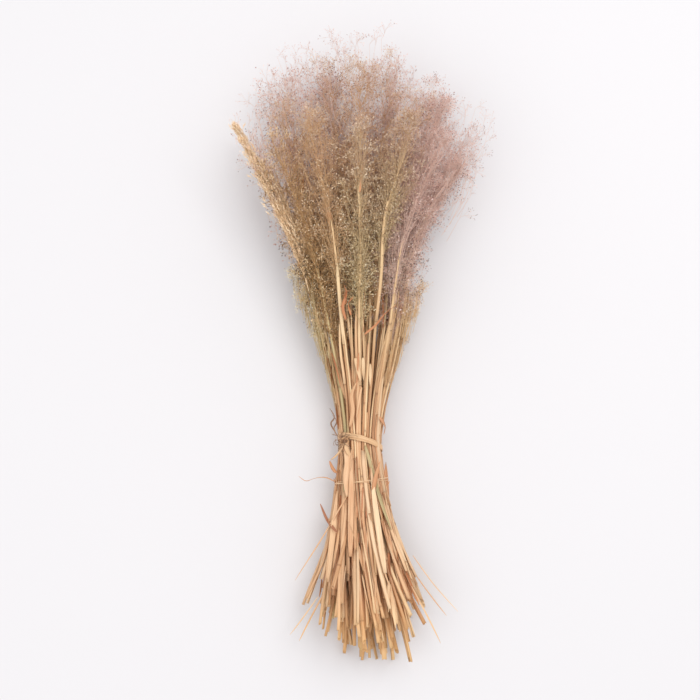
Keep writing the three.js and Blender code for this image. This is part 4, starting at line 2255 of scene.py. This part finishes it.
@dataclass
class Studio:
    """The surface, the light and the camera.

    Attributes:
        elevation: How steeply the camera looks down, in degrees.
        distance: From the camera to what it looks at.
        frame_width: What it sees there, from edge to edge.
        aim: What it looks at.
        floor_half: Half the surface's side.
        sky: Strength of the light from all round.
    """

    elevation: float = 82.0
    distance: float = 1.9
    frame_width: float = 0.690
    aim: tuple[float, float, float] = (-0.009, 0.0, 0.03)
    floor_half: float = 6.0
    sky: float = 0.82

    def build(self) -> None:
        """Sets up the surface, the lights and the camera."""
        self._floor()
        self._lights()
        self._camera()

    def _floor(self) -> None:
        """Makes the surface that the bundle lies on."""
        built = bmesh.new()
        bmesh.ops.create_grid(built, x_segments=8, y_segments=8, size=self.floor_half)
        data = bpy.data.meshes.new("surface")
        built.to_mesh(data)
        built.free()
        data.materials.append(Finish.FLOOR.material)
        floor = bpy.data.objects.new("surface", data)
        bpy.context.scene.collection.objects.link(floor)

    def _lights(self) -> None:
        """Lights the scene from all round, with a large soft lamp at the upper right."""
        world = bpy.data.worlds.new("studio")
        bpy.context.scene.world = world
        world.use_nodes = True
        background = world.node_tree.nodes["Background"]
        background.inputs["Color"].default_value = paint("fdfbfd")
        background.inputs["Strength"].default_value = self.sky
        self._lamp("key", Vector((0.65, 0.6, 2.0)), 1.5, 21.0)
        self._lamp("fill", Vector((-1.1, -0.6, 1.8)), 1.7, 9.0)
        bpy.context.scene.view_settings.view_transform = "Standard"

    @staticmethod
    def _lamp(name: str, at: Vector, size: float, power: float) -> None:
        """Adds a square soft lamp that faces the bundle.

        Args:
            name: Its name.
            at: Its place.
            size: Its side.
            power: Its power in watts.
        """
        light = bpy.data.lights.new(name, "AREA")
        light.energy = power
        light.size = size
        lamp = bpy.data.objects.new(name, light)
        lamp.matrix_world = Matrix.Translation(at) @ at.to_track_quat("Z", "Y").to_matrix().to_4x4()
        bpy.context.scene.collection.objects.link(lamp)

    def _camera(self) -> None:
        """Looks down on the bundle, from a little towards its cut ends."""
        tilt = math.radians(self.elevation)
        back = Vector((0, -math.cos(tilt), math.sin(tilt)))
        data = bpy.data.cameras.new("camera")
        data.sensor_width = 36
        data.lens = 36 * self.distance / self.frame_width
        camera = bpy.data.objects.new("camera", data)
        at = Vector(self.aim) + back * self.distance
        camera.matrix_world = Matrix.Translation(at) @ back.to_track_quat("Z", "Y").to_matrix().to_4x4()
        bpy.context.scene.collection.objects.link(camera)
        bpy.context.scene.camera = camera


# ---------------------------------------------------------------------------------------------


def main() -> None:
    """Builds the whole bundle."""
    logging.basicConfig(level=logging.INFO, format="%(name)s: %(message)s")
    random.seed(3)
    low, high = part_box("tie_band")
    tie = (low.y + high.y) / 2
    stems = {name: Course.of(name) for name in sorted(frame["nodes"]) if name.startswith("stem_")}
    Studio().build()
    sheaf = Sheaf(stems, tie)
    Stalks(sheaf).build()
    Heads(sheaf).build()
    Tie().build()
    Leaves(sheaf).build()


if __name__ == "__main__":
    main()
